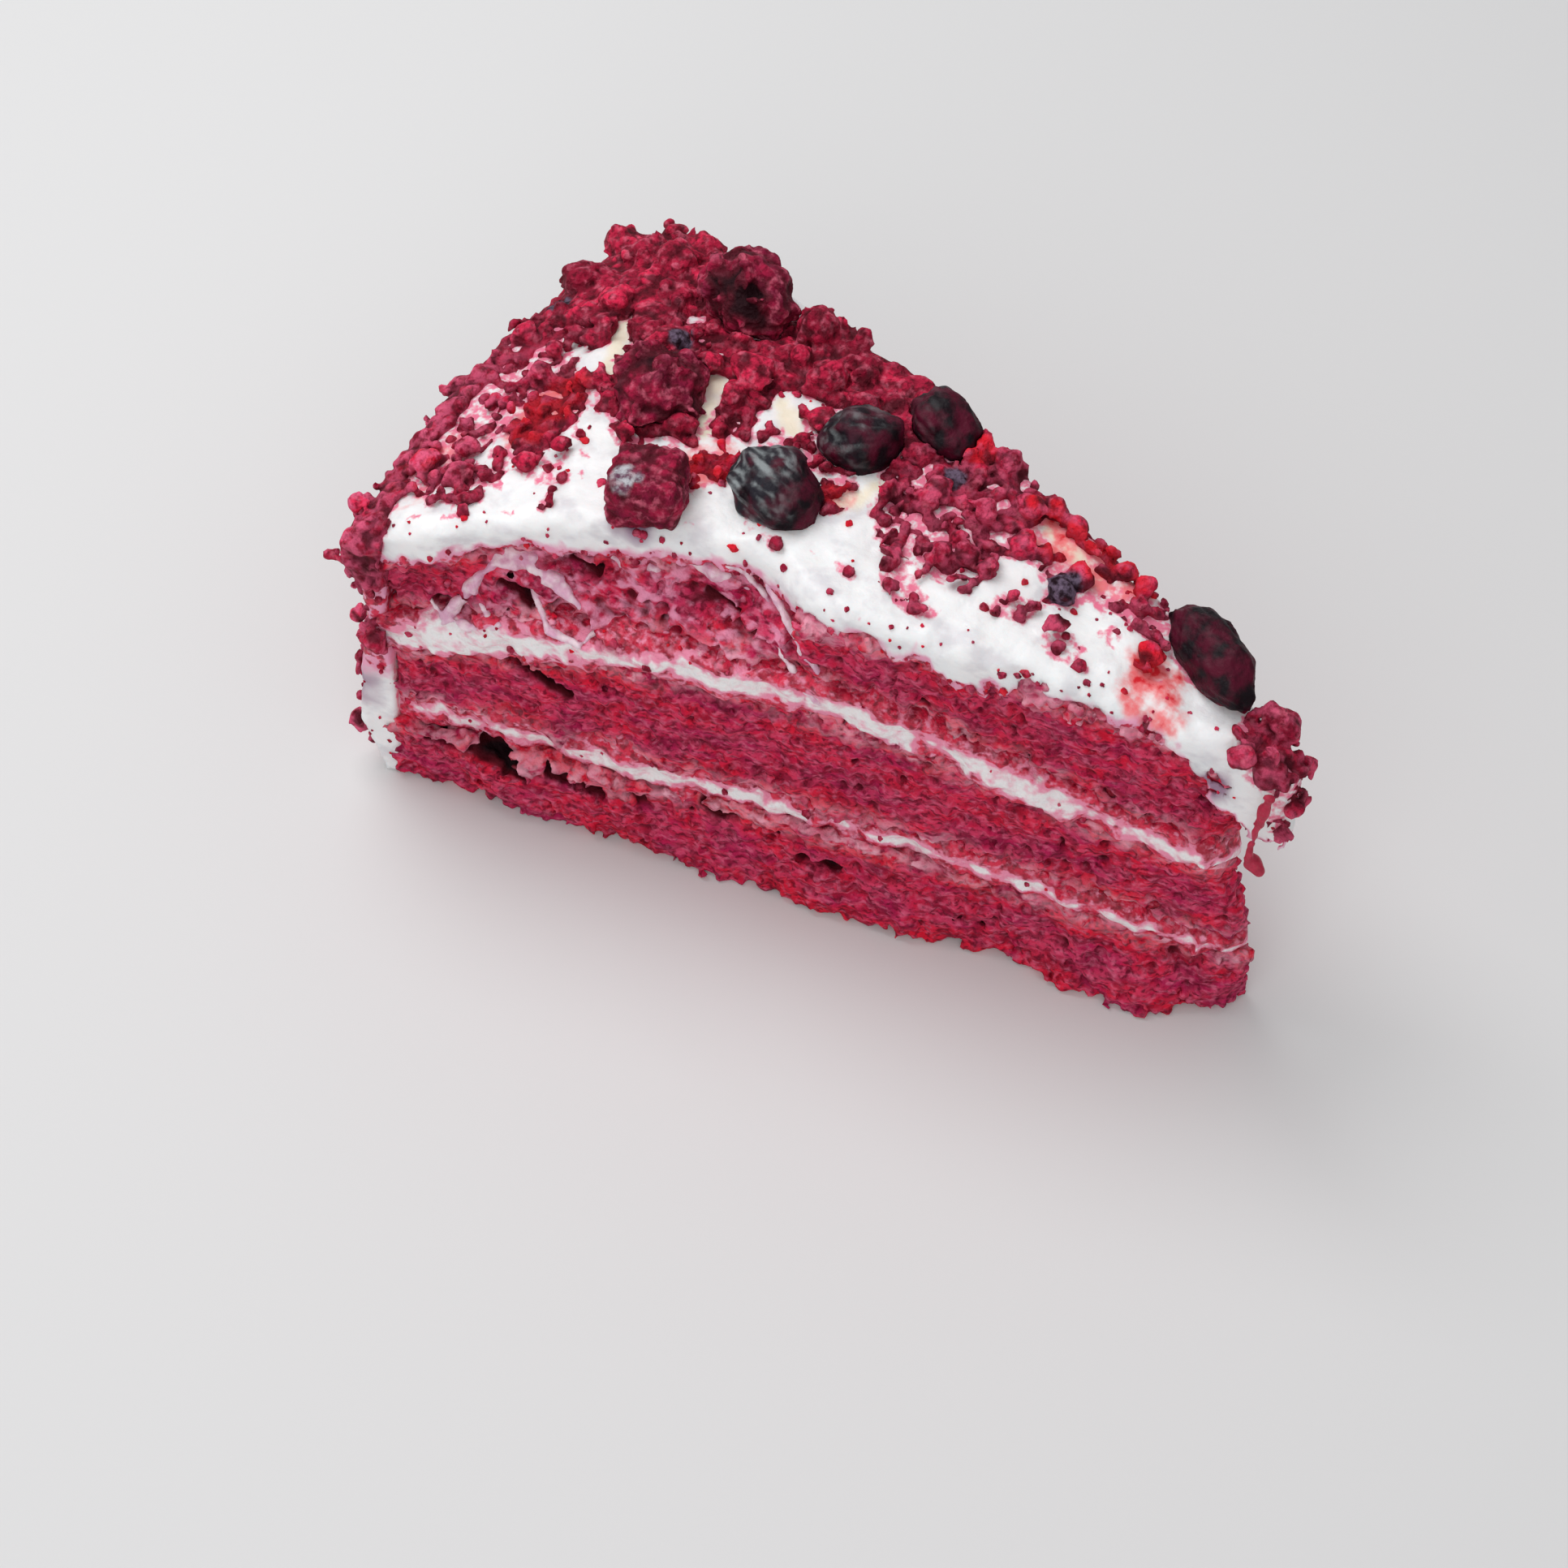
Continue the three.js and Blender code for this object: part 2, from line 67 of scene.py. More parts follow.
# The heights of the boundaries above each layer, as [r, z].
BOUNDARIES = {
    "sponge_bottom": [[121, 11.5], [92, 13], [62, 15.6], [44, 15.2], [24, 13.4], [8, 10.8]],
    "filling_lower": [[121, 15.8], [92, 18], [62, 18.8], [44, 18.2], [24, 16], [8, 13.6]],
    "sponge_middle": [[121, 25], [100, 32.4], [82, 36.4], [64, 36.8], [44, 33.8], [26, 30], [8, 28]],
    "filling_upper": [[121, 32.5], [100, 38.4], [80, 41.6], [52, 41.4], [34, 36.6], [8, 30.6]],
    "sponge_top": [[121, 42.5], [104, 47.8], [80, 51.4], [50, 53], [22, 50.5], [10, 46]],
}

# The frosting: its height [r, z], its thickness over the rim [z, thickness], and how far its
# edge runs down over the top sponge at each cut face [r, length].
FROSTING_TOP = [[125, 45.5], [114, 50], [96, 54.5], [66, 57], [36, 56], [16, 53], [4, 50]]
RIM_THICKNESS = [[0, 1.6], [4, 3], [10, 4.4], [20, 3.8], [32, 2], [41, 3.8], [48, 3.4]]
HANG = {
    FRONT: [
        [121, 0.2], [84, 0.2], [66, 0], [54, 0], [50, 0.8], [47, 3.4], [44, 4.2], [41, 1.6],
        [38, 0.1], [21, 0], [17, 1.4], [13, 5], [8, 9.5],
    ],
    BACK: [[121, 0.8], [100, 3], [84, 0.8], [56, 2.5], [36, 0.5], [20, 1], [14, 5], [8, 9]],
}
FROSTING_OVERHANG = 0.9
FROSTING_TIP = 8.0  # the radius where the rounding of its tip starts
FROSTING_TIP_REACH = 3.6
EDGE_ROUNDING = 2.6
FOOT_CLEARANCE = 0.4

# The boxes, from low to high corner, inside which the frosting and its crumbs are worked out.
FROSTING_BOX = [[-63.5, -37, -1], [66, 37, 61.5]]
TOP_CRUMBS_BOX = [[-66, -38, 30], [67, 38, 66]]
RIM_CRUMBS_BOX = [[-66, -38, -0.5], [-44, 38, 44]]
CRUMB_SEAM = 42  # the height where the rim's crumbs meet those of the top
CRUMB_OVERLAP = 0.4
CRUMB_FOOT = 0.2  # the height where the rim's crumbs begin

SPONGE_STEP = 0.45  # between the grid points of a field
CREAM_STEP = 0.5
CRUMB_STEP = 0.4
BERRY_STEP = 0.34
STRAND_STEP = 0.3
BAND = 4.5  # how far from the surface distances are kept
CLEAR_HEIGHT = 2.6  # how high over the frosting a crumb's colour is no longer shaded

# ---------------------------------------------------------------- small helpers


def smoothstep(low, high, value):
    """0 below low, 1 above high, and smooth between them; low may be the larger one."""
    share = np.clip((value - low) / (high - low), 0, 1)
    return share * share * (3 - 2 * share)


def along(knots, place):
    """The value at each place on a smooth curve through knots of [place, value]."""
    x, y = np.array(sorted(knots), float).T
    slopes = np.empty_like(y)
    slopes[1:-1] = (y[2:] - y[:-2]) / (x[2:] - x[:-2])
    slopes[0] = (y[1] - y[0]) / (x[1] - x[0])
    slopes[-1] = (y[-1] - y[-2]) / (x[-1] - x[-2])
    at = np.clip(place, x[0], x[-1])
    i = np.clip(np.searchsorted(x, at), 1, len(x) - 1)
    width = x[i] - x[i - 1]
    t = (at - x[i - 1]) / width
    start = (1 + 2 * t) * (1 - t) ** 2 * y[i - 1] + t * (1 - t) ** 2 * width * slopes[i - 1]
    return start + t * t * (3 - 2 * t) * y[i] + t * t * (t - 1) * width * slopes[i]


def polar(points):
    """The r and phi of points."""
    x, y = AXIS_X - points[:, 0], points[:, 1]
    return np.hypot(x, y), np.arctan2(y, x)


def behind_face(points, side):
    """How far points lie behind a cut face's plane, minus in front of it."""
    r, phi = polar(points)
    return r * np.sin(HALF_ANGLE - side * phi)


def face_point(r, z, out=0.0, side=FRONT):
    """The point at r and z on a cut face, standing `out` from it."""
    x = AXIS_X - r * math.cos(HALF_ANGLE) + out * math.sin(HALF_ANGLE)
    y = side * (r * math.sin(HALF_ANGLE) + out * math.cos(HALF_ANGLE))
    return np.array([x, y, z])


def both(first, second, rounding):
    """The distance to what two bodies share, with the edge between them rounded."""
    a, b = first + rounding, second + rounding
    return np.minimum(np.maximum(a, b), 0) + np.hypot(np.maximum(a, 0), np.maximum(b, 0)) - rounding


def turned(across, up, tilt, half):
    """Places along an ellipse's own two directions, in its half-lengths."""
    u = (across * math.cos(tilt) + up * math.sin(tilt)) / half[0]
    v = (up * math.cos(tilt) - across * math.sin(tilt)) / half[1]
    return u, v


def ellipsoid(u, v, w, size):
    """About the distance to an ellipsoid, for places given in its half-lengths."""
    return (np.sqrt(u * u + v * v + w * w) - 1) * size


def away(points, at, half):
    """How far points are from a place, in half-lengths."""
    return np.linalg.norm((points - np.array(at)) / half, axis=1)


def to_segment(points, start, end):
    """How far along a straight line the nearest place on it is, from 0 to 1, and the distance."""
    way = end - start
    share = np.clip(((points - start) @ way) / (way @ way), 0, 1)
    return share, np.linalg.norm(points - start - share[:, None] * way, axis=1)


def merged(first, second, blend):
    """The distance to two bodies that flow into each other."""
    share = np.clip(0.5 + 0.5 * (second - first) / blend, 0, 1)
    return second * (1 - share) + first * share - blend * share * (1 - share)


# ---------------------------------------------------------------- noise


class Noise:
    """Repeatable soft noise and rounded cells, at points in millimetres."""

    BITS = 6  # of each axis of the repeating lattice

    def __init__(self, seed):
        random = np.random.default_rng(seed)
        count = 2 ** (3 * self.BITS)
        slopes = random.normal(size=(3, count)).astype(np.float32)
        self.slopes = slopes / np.linalg.norm(slopes, axis=0)
        self.centres = random.uniform(0.08, 0.92, (3, count)).astype(np.float32)
        self.numbers = random.random(count).astype(np.float32)

    def index(self, cell):
        mask = 2**self.BITS - 1
        return ((cell[0] & mask) << 2 * self.BITS) | ((cell[1] & mask) << self.BITS) | (cell[2] & mask)

    @staticmethod
    def split(points, scale):
        """The cell of each point and its place in that cell, one row for each axis."""
        place = np.ascontiguousarray((points / np.asarray(scale, np.float32)).T, np.float32)
        whole = np.floor(place)
        return whole.astype(np.int32), place - whole

    def soft(self, points, scale):
        """About -1 to 1, with bumps `scale` across: one length, or one for each axis."""
        cell, inside = self.split(points, scale)
        fade = inside**3 * (inside * (inside * 6 - 15) + 10)
        shares = (1 - fade, fade)
        total = np.zeros(len(points), np.float32)
        for i, j, k in product((0, 1), repeat=3):
            index = self.index((cell[0] + i, cell[1] + j, cell[2] + k))
            towards = (inside[0] - i) * self.slopes[0][index]
            towards += (inside[1] - j) * self.slopes[1][index]
            towards += (inside[2] - k) * self.slopes[2][index]
            total += shares[i][0] * shares[j][1] * shares[k][2] * towards
        return 1.6 * total

    def cells(self, points, scale):
        """The distance to the nearest cell's centre in cell widths, and that cell's number."""
        cell, inside = self.split(points, scale)
        nearest = np.full(len(points), 9.0, np.float32)
        number = np.zeros(len(points), np.float32)
        for i, j, k in product((-1, 0, 1), repeat=3):
            index = self.index((cell[0] + i, cell[1] + j, cell[2] + k))
            distance = (self.centres[0][index] + i - inside[0]) ** 2
            distance += (self.centres[1][index] + j - inside[1]) ** 2
            distance += (self.centres[2][index] + k - inside[2]) ** 2
            closer = distance < nearest
            nearest = np.where(closer, distance, nearest)
            number = np.where(closer, self.numbers[index], number)
        return np.sqrt(nearest), number


POINTS_IN_BLOCK = 20000
CORES = 4


def in_blocks(function, points):
    """A function's values at many points, worked out block by block on all cores."""
    blocks = np.array_split(points, max(1, len(points) // POINTS_IN_BLOCK))
    with ThreadPoolExecutor(CORES) as pool:
        return np.concatenate(list(pool.map(function, blocks)))


noise = Noise(7)
other_noise = Noise(19)

# ---------------------------------------------------------------- fields of distances


class Field:
    """Distances to a surface, minus inside it, on a grid of points `step` apart."""

    def __init__(self, first, values, step):
        self.first = np.array(first)
        self.values = values
        self.step = step

    @classmethod
    def of_function(cls, low, high, step, rough, exact, reach):
        """A field over the box from low to high: exact within `reach` of the rough surface."""
        side = 5
        radius = side * step * math.sqrt(3) / 2
        first = np.floor(np.array(low) / step).astype(int)
        blocks = np.ceil((np.array(high) - low) / (step * side)).astype(int)
        block = np.indices(blocks).reshape(3, -1).T * side + first
        middle = in_blocks(rough, ((block + side / 2) * step).astype(np.float32))
        far = np.where(middle < 0, -BAND, BAND).astype(np.float32).reshape(blocks)
        field = cls(first, far.repeat(side, 0).repeat(side, 1).repeat(side, 2), step)
        near = block[np.abs(middle) < reach + radius]
        inner = np.indices((side,) * 3).reshape(3, -1).T
        places = (near[:, None] + inner).reshape(-1, 3)
        values = in_blocks(exact, (places * step).astype(np.float32))
        field.values[tuple((places - first).T)] = np.clip(values, -BAND, BAND)
        return field

    @classmethod
    def of_mesh(cls, points, triangles, step):
        grid = vdb.FloatGrid.createLevelSetFromPolygons(
            points,
            triangles=triangles,
            transform=vdb.createLinearTransform(voxelSize=step),
            halfWidth=BAND / step,
        )
        low, high = (np.array(corner) for corner in grid.evalActiveVoxelBoundingBox())
        values = np.zeros(high - low + 1, np.float32)
        grid.copyToArray(values, ijk=tuple(int(i) for i in low))
        return cls(low, values, step)

    def copy(self):
        return Field(self.first, self.values.copy(), self.step)

    def near(self, reach):
        """The grid points within `reach` of the surface, as an index."""
        return np.nonzero(np.abs(self.values) < reach)

    def rework(self, distance_at, reach, torn=False):
        """Works the distances out anew near the surface, where it shows at a cut face."""
        index = self.near(reach)
        points = self.points(index)
        shown = in_blocks(lambda block: near_cut_face(block, torn), points) > 0
        index = tuple(axis[shown] for axis in index)
        self.values[index] = in_blocks(distance_at, points[shown])

    def points(self, index):
        return (np.stack(index, axis=1) + self.first).astype(np.float32) * np.float32(self.step)

    def lines(self, axis):
        """Where the grid's points lie along an axis."""
        return self.step * (np.arange(self.values.shape[axis]) + self.first[axis])

    def sample(self, points):
        """The distances at points, from the grid points round each."""
        shape = np.array(self.values.shape)
        place = np.clip(points / self.step - self.first, 0, shape - 1.001).T.astype(np.float32)
        cell = place.astype(np.int32)
        share = place - cell
        shares = (1 - share, share)
        values = self.values.ravel()
        index = (cell[0] * shape[1] + cell[1]) * shape[2] + cell[2]
        total = np.zeros(len(points), np.float32)
        for i, j, k in product((0, 1), repeat=3):
            corner = values[index + ((i * shape[1] + j) * shape[2] + k)]
            total += shares[i][0] * shares[j][1] * shares[k][2] * corner
        return total

    def surface(self, adaptivity=0.0, all_shells=False):
        """The surface as points and faces, without sealed hollows and loose scraps."""
        grid = vdb.FloatGrid(BAND)
        grid.copyFromArray(self.values, ijk=tuple(int(i) for i in self.first))
        grid.transform = vdb.createLinearTransform(voxelSize=self.step)
        points, triangles, quads = grid.convertToPolygons(isovalue=0.0, adaptivity=adaptivity)
        faces = [np.asarray(part, np.int64) for part in (triangles, quads) if len(part)]
        return keep_shells(np.asarray(points, np.float32), faces, all_shells)


def shell_labels(count, faces):
    """A number for each vertex, the same all over each connected shell."""
    sides = [np.stack([part, np.roll(part, -1, axis=1)], -1).reshape(-1, 2) for part in faces]
    edges = np.concatenate(sides)
    label = np.arange(count)
    while True:
        lower = np.minimum(label[edges[:, 0]], label[edges[:, 1]])
        after = label.copy()
        np.minimum.at(after, edges[:, 0], lower)
        np.minimum.at(after, edges[:, 1], lower)
        after = after[after[after]]
        if (after == label).all():
            return label
        label = after


def shell_volumes(points, faces, labels):
    """The signed volume of each label's shell."""
    volumes = np.zeros(len(points))
    for part in faces:
        for i in range(1, part.shape[1] - 1):
            a, b, c = (points[part[:, k]].astype(float) for k in (0, i, i + 1))
            np.add.at(volumes, labels[part[:, 0]], np.einsum("ij,ij->i", a, np.cross(b, c)) / 6)
    return volumes


def keep_shells(points, faces, all_shells):
    """The largest shell, or with all_shells every one that isn't a hollow or a speck."""
    smallest_volume = 0.9
    labels = shell_labels(len(points), faces)
    volumes = shell_volumes(points, faces, labels)
    if volumes.sum() < 0:
        faces = [part[:, ::-1] for part in faces]
        volumes = -volumes
    kept = volumes > smallest_volume if all_shells else volumes == volumes.max()
    kept_points = kept[labels]
    renumbered = np.cumsum(kept_points) - 1
    faces = [renumbered[part[kept_points[part[:, 0]]]] for part in faces]
    return points[kept_points], [part for part in faces if len(part)]


def node_mesh(name):
    """A CAD node's points in millimetres and its triangles."""
    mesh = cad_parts[name].data
    points = np.empty(len(mesh.vertices) * 3)
    mesh.vertices.foreach_get("co", points)
    mesh.calc_loop_triangles()
    triangles = np.empty(len(mesh.loop_triangles) * 3, np.int32)
    mesh.loop_triangles.foreach_get("vertices", triangles)
    return points.reshape(-1, 3) / METRES, triangles.reshape(-1, 3).astype(np.uint32)


def add_object(name, data):
    made = bpy.data.objects.new(name, data)
    bpy.context.collection.objects.link(made)
    return made


def add_piece(name, surface, material, attributes, replaced):
    """A mesh object in metres on the cake's body; an attribute is one value, or one a point."""
    points, faces = surface
    mesh = bpy.data.meshes.new(name)
    mesh.vertices.add(len(points))
    mesh.vertices.foreach_set("co", (np.asarray(points, float) * METRES).ravel())
    corners = np.concatenate([part.ravel() for part in faces])
    sizes = np.concatenate([np.full(len(part), part.shape[1]) for part in faces])
    mesh.loops.add(len(corners))
    mesh.loops.foreach_set("vertex_index", corners.astype(np.int32))
    mesh.polygons.add(len(sizes))
    mesh.polygons.foreach_set("loop_start", (np.cumsum(sizes) - sizes).astype(np.int32))
    mesh.update(calc_edges=True)
    mesh.shade_smooth()
    for key, values in attributes.items():
        attribute = mesh.attributes.new(key, "FLOAT", "POINT")
        attribute.data.foreach_set("value", np.full(len(points), values, np.float32))
    mesh.materials.append(material)
    piece = add_object(name, mesh)
    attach(piece, "root")
    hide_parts(replaced)


# ---------------------------------------------------------------- sponges

# A tear in the front face: from [r, z] to [r, z], its height and depth.
Tear = namedtuple("Tear", "start end height depth")
TEARS = [
    Tear([116.6, 9.6], [110.5, 10.4], 0.6, 4),
    Tear([108.6, 11.3], [105.2, 10.2], 1.5, 6),
    Tear([104.8, 9.6], [102.6, 8.4], 0.8, 5),
    Tear([99, 11.2], [92.3, 9.3], 1.0, 5),
    Tear([78, 12.9], [73.5, 12.7], 0.6, 3),
    Tear([64, 9.4], [59, 9.1], 0.5, 2.5),
    Tear([104, 30], [99.5, 28.6], 0.8, 4),
    Tear([99.7, 28.4], [95.9, 27.1], 0.8, 3.5),
    Tear([92, 30.4], [88.7, 29.4], 0.6, 2.5),
    Tear([113.7, 36.4], [109.9, 36], 1.3, 5),
    Tear([106, 41.4], [101.5, 39.9], 0.8, 5),
    Tear([98.6, 40.6], [94, 40], 1.0, 7),
    Tear([94, 40], [90, 39.2], 0.7, 6),
    Tear([97.8, 46.2], [94.2, 45.4], 0.8, 3.5),
    Tear([84, 43.2], [77, 42.6], 0.4, 5),
    Tear([80, 47], [75, 46], 0.35, 4),
    Tear([14.5, 40.4], [11.5, 38.6], 1, 2.5),
]

# A flat blob on the front face: its middle as [r, z], half its length and height, and its tilt
# in degrees.
Swell = namedtuple("Swell", "at half tilt")
SWELL_MIDDLE = 1.3  # how far a swell's middle lies behind the cut face
SWELL_HALF_DEPTH = 2.8

# Where the top sponge's crumb is drawn up over the frosting.
RIDGES = [
    Swell([63.5, 52.6], [4.5, 2.2], 0),
    Swell([57.5, 52.8], [3.6, 2.4], 0),
    Swell([36, 52.6], [3.6, 1.9], 0),
    Swell([30, 52], [3.4, 1.6], 0),
    Swell([23, 50.6], [4, 1.5], 10),
]


def torn_depth(r):
    return along(TORN_DEPTH, r)


def near_cut_face(points, torn=False):
    """1 at the cut faces and the tip, fading to 0 in the slice's hidden middle."""
    r, _ = polar(points)
    front = behind_face(points, FRONT) - (torn_depth(r) if torn else 0)
    back = behind_face(points, BACK)
    return 1 - smoothstep(3.5, 6.5, np.minimum(front, back))


def warped(points, amount):
    """Points pushed about, by the same shifts for all the layers, so that they still meet."""
    shift = np.stack([noise.soft(points + 40 * axis, 4.6) for axis in range(1, 4)], axis=1)
    shift += 0.5 * np.stack([noise.soft(points - 40 * axis, 2.1) for axis in range(1, 4)], axis=1)
    return points + shift * (np.array([0.7, 0.7, 1.1]) * amount[:, None])


def tear_shape(points, tear):
    """The distance to a wedge-shaped tear that narrows inwards from the front face."""
    r, _ = polar(points)
    places = np.stack([r, points[:, 2]], axis=1)
    _, aside = to_segment(places, np.array(tear.start, float), np.array(tear.end, float))
    depth = behind_face(points, FRONT) - torn_depth(r) * smoothstep(36, 46, points[:, 2])
    ragged = 1 + 0.7 * noise.soft(points, 1.5) + 0.5 * other_noise.soft(points, 3.5)
    return aside - tear.height * ragged * (1 - depth / tear.depth)


def without_tears(distance, points):
    """The distance to what is left of a body once the tears are cut out of it."""
    return np.maximum.reduce([distance, *(-tear_shape(points, tear) for tear in TEARS)])


def crumb_relief(points):
    """How far the baked crumb stands out: lumps, fine grains, and pores that go in."""
    lumps = 0.5 * noise.soft(points, 6.5) + 0.45 * noise.soft(points, 2.6)
    grains, _ = noise.cells(points, 1.45)
    pores, number = other_noise.cells(points, [2.9, 2.9, 1.9])
    pore_depth = np.where(number > 0.35, 1.5, 0) * (1 - smoothstep(0.1, 0.42, pores))
    grain_height = 0.9 * (smoothstep(0.85, 0.1, grains) - 0.5) + 0.35 * other_noise.soft(points, 1.05)
    return lumps + grain_height - pore_depth


def rough_sponge(name):
    """A sponge's field, roughened at the cut faces, and its smooth field for comparison."""
    smooth = Field.of_mesh(*node_mesh(name), SPONGE_STEP)
    rough = smooth.copy()
    torn = name == "sponge_top"

    def distance_at(points):
        weight = near_cut_face(points, torn)
        distance = smooth.sample(warped(points, weight)) - weight * crumb_relief(points)
        if torn:
            flakes = 1.0 * noise.soft(points, [6, 6, 1.9]) + 0.6 * other_noise.soft(points, [3.5, 3.5, 1.1])
            distance += torn_amount(name, points) * flakes
            ragged = points + 0.7 * noise.soft(points, 1.6)[:, None]
            for ridge in RIDGES:
                distance = merged(distance, swell_shape(ragged, ridge) - crumb_relief(points), 0.8)
        return np.maximum(without_tears(distance, points), -points[:, 2])

    rough.rework(distance_at, reach=3.6, torn=torn)
    return rough, smooth


def add_sponge(name, material):
    rough, smooth = rough_sponge(name)
    surface = rough.surface(adaptivity=0.012)
    points = surface[0]
    base = smooth.sample(warped(points, near_cut_face(points, name == "sponge_top")))
    height_share = (points[:, 2] - base_height(name, points)) / layer_thickness(name, points)
    attributes = {
        "relief": np.where(base > 1.6, 0, base),
        "cream": cream_near(name, points, height_share),
        "near_cream": smoothstep(0.35, 1, height_share) + smoothstep(0.5, 0, height_share),
        "torn": torn_amount(name, points),
    }
    add_piece(name + "_fine", surface, material, attributes, name)
    return rough


def base_height(name, points):
    """The height of the boundary under a layer."""
    names = list(BOUNDARIES)
    place = names.index(name)
    r, _ = polar(points)
    return along(BOUNDARIES[names[place - 1]], r) if place else np.zeros(len(points))


def layer_thickness(name, points):
    r, _ = polar(points)
    return along(BOUNDARIES[name], r) - base_height(name, points)


def cream_near(name, points, height_share):
    """How much cream is smeared on a sponge: thin, in streaks beside the fillings."""
    streaks = 0.55 + 0.6 * noise.soft(points, [4, 4, 1.4])
    fine = 0.5 + 0.5 * other_noise.soft(points, [1.4, 1.4, 0.8])
    thickness = layer_thickness(name, points)
    below = height_share * thickness
    above = (1 - height_share) * thickness
    near_below = smoothstep(3.4, 0, below) if name != "sponge_bottom" else 0
    near_above = smoothstep(3.4, 0, above)
    return np.maximum(near_below, near_above) * streaks * (0.4 + fine)


def torn_amount(name, points):
    """1 in the torn hollow of the top sponge, where the crumb is washed with cream."""
    if name != "sponge_top":
        return np.zeros(len(points))
    r, _ = polar(points)
    depth = torn_depth(r)
    return smoothstep(2, 4.5, depth) * smoothstep(5, 2, behind_face(points, FRONT) - depth)


# ---------------------------------------------------------------- fillings

# The cream that swells or runs out of a filling.
SWELLS = {
    "filling_lower": [
        Swell([82.5, 16.6], [2.6, 3.4], -20),
        Swell([80.8, 12.6], [1.3, 2.2], 0),
        Swell([89, 20.4], [0.8, 3.4], 5),
        Swell([96, 16.4], [4.6, 1.5], 6),
        Swell([88, 17.8], [8.5, 2.4], -3),
        Swell([105, 18.6], [4, 1], 8),
        Swell([68, 16.8], [5.6, 1.6], 2),
        Swell([63.2, 18.6], [0.7, 2.2], -12),
        Swell([50, 12.8], [2.4, 2.4], 24),
        Swell([50.8, 10.6], [1.1, 2], 0),
        Swell([22, 14.2], [3.8, 1], 14),
        Swell([12, 12.4], [0.6, 2], 0),
    ],
    "filling_upper": [
        Swell([111, 31.2], [7.4, 2.6], -38),
        Swell([103.5, 35.6], [4, 2.2], -10),
        Swell([84, 39.2], [4.4, 1.7], -14),
        Swell([75.5, 38.4], [4.8, 1.6], 4),
        Swell([57.5, 38.6], [5.6, 2.5], 2),
        Swell([55, 41.4], [2.8, 2.9], 0),
        Swell([37.5, 34.4], [5.4, 1.8], 28),
        Swell([31.5, 31.4], [2.3, 2.6], 20),
        Swell([14, 30.4], [3.4, 1.2], 10),
    ],
}

# How clean the cream is at the front face, from 0, hidden by crumb, to 1, white, as [r, share].
CLEAN = {
    "filling_lower": [
        [121, 0.3], [112, 0.4], [107, 0.7], [101, 0.55], [96, 0.9], [88, 0.85], [82, 1], [77, 0.55],
        [71, 0.8], [66, 0.85], [60, 0.45], [54, 0.55], [50, 1], [46, 0.5], [38, 0.5], [32, 0.65],
        [28, 0.4], [21, 0.8], [16, 0.4], [11, 0.55], [8, 0.4],
    ],
    "filling_upper": [
        [121, 0.4], [117, 0.95], [103, 1], [97, 0.85], [91, 0.7], [84, 0.75], [80, 0.9], [75, 0.95],
        [71, 0.8], [66, 0.5], [62, 0.85], [57, 1], [53, 1], [49, 0.5], [44, 0.6], [39, 0.95], [31, 1],
        [27, 0.5], [21, 0.5], [15, 0.75], [9, 0.55],
    ],
}


def swell_shape(points, swell):
    """The distance to a flat blob of cream that lies on the front face."""
    r, _ = polar(points)
    u, v = turned(r - swell.at[0], points[:, 2] - swell.at[1], math.radians(swell.tilt), swell.half)
    w = (behind_face(points, FRONT) - SWELL_MIDDLE) / SWELL_HALF_DEPTH
    return ellipsoid(u, v, w, min(swell.half))


def rough_filling(name):
    """A filling's field: its solid swollen by soft lumps, with the cream that runs out of it."""
    smooth = Field.of_mesh(*node_mesh(name), CREAM_STEP)
    rough = smooth.copy()

    def distance_at(points):
        weight = near_cut_face(points)
        distance = smooth.sample(warped(points, weight)) - 0.15
        soft = 0.7 * noise.soft(points, 5) + 0.45 * noise.soft(points, 2.2) + 0.2 * noise.soft(points, 1.1)
        distance -= weight * (soft + 0.45)
        moved = warped(points, 1.2 * weight) + 0.5 * noise.soft(points, 1.5)[:, None]
        for swell in SWELLS[name]:
            distance = merged(distance, swell_shape(moved, swell), 1.2)
        return without_tears(distance, points)

    rough.rework(distance_at, reach=4)
    return rough


def filling_stain(name, points):
    """How stained with crumb the cream is, from 0 to 1: by place, and near its own edges."""
    r, phi = polar(points)
    clean = np.where(phi < 0, along(CLEAN[name], r), 0.45 + 0.5 * noise.soft(points, 9))
    share = (points[:, 2] - base_height(name, points)) / layer_thickness(name, points)
    patches = 0.32 * noise.soft(points, 3.2) + 0.26 * other_noise.soft(points, 1.3)
    return smoothstep(-0.28, 0.2, 1.25 * np.abs(share - 0.5) - 0.52 * clean + patches)


def add_filling(name, material):
    field = rough_filling(name)
    surface = field.surface(adaptivity=0.03)
    attributes = {"stain": filling_stain(name, surface[0])}
    add_piece(name + "_fine", surface, material, attributes, name)
    return field, surface[0]


# ---------------------------------------------------------------- frosting


def frosting_top_plain(r):
    return along(FROSTING_TOP, r)


def frosting_height(points):
    flat = points * np.array([1, 1, 0])
    r, _ = polar(points)
    return frosting_top_plain(r) + 0.7 * noise.soft(flat, 14) + 0.3 * noise.soft(flat, 5)


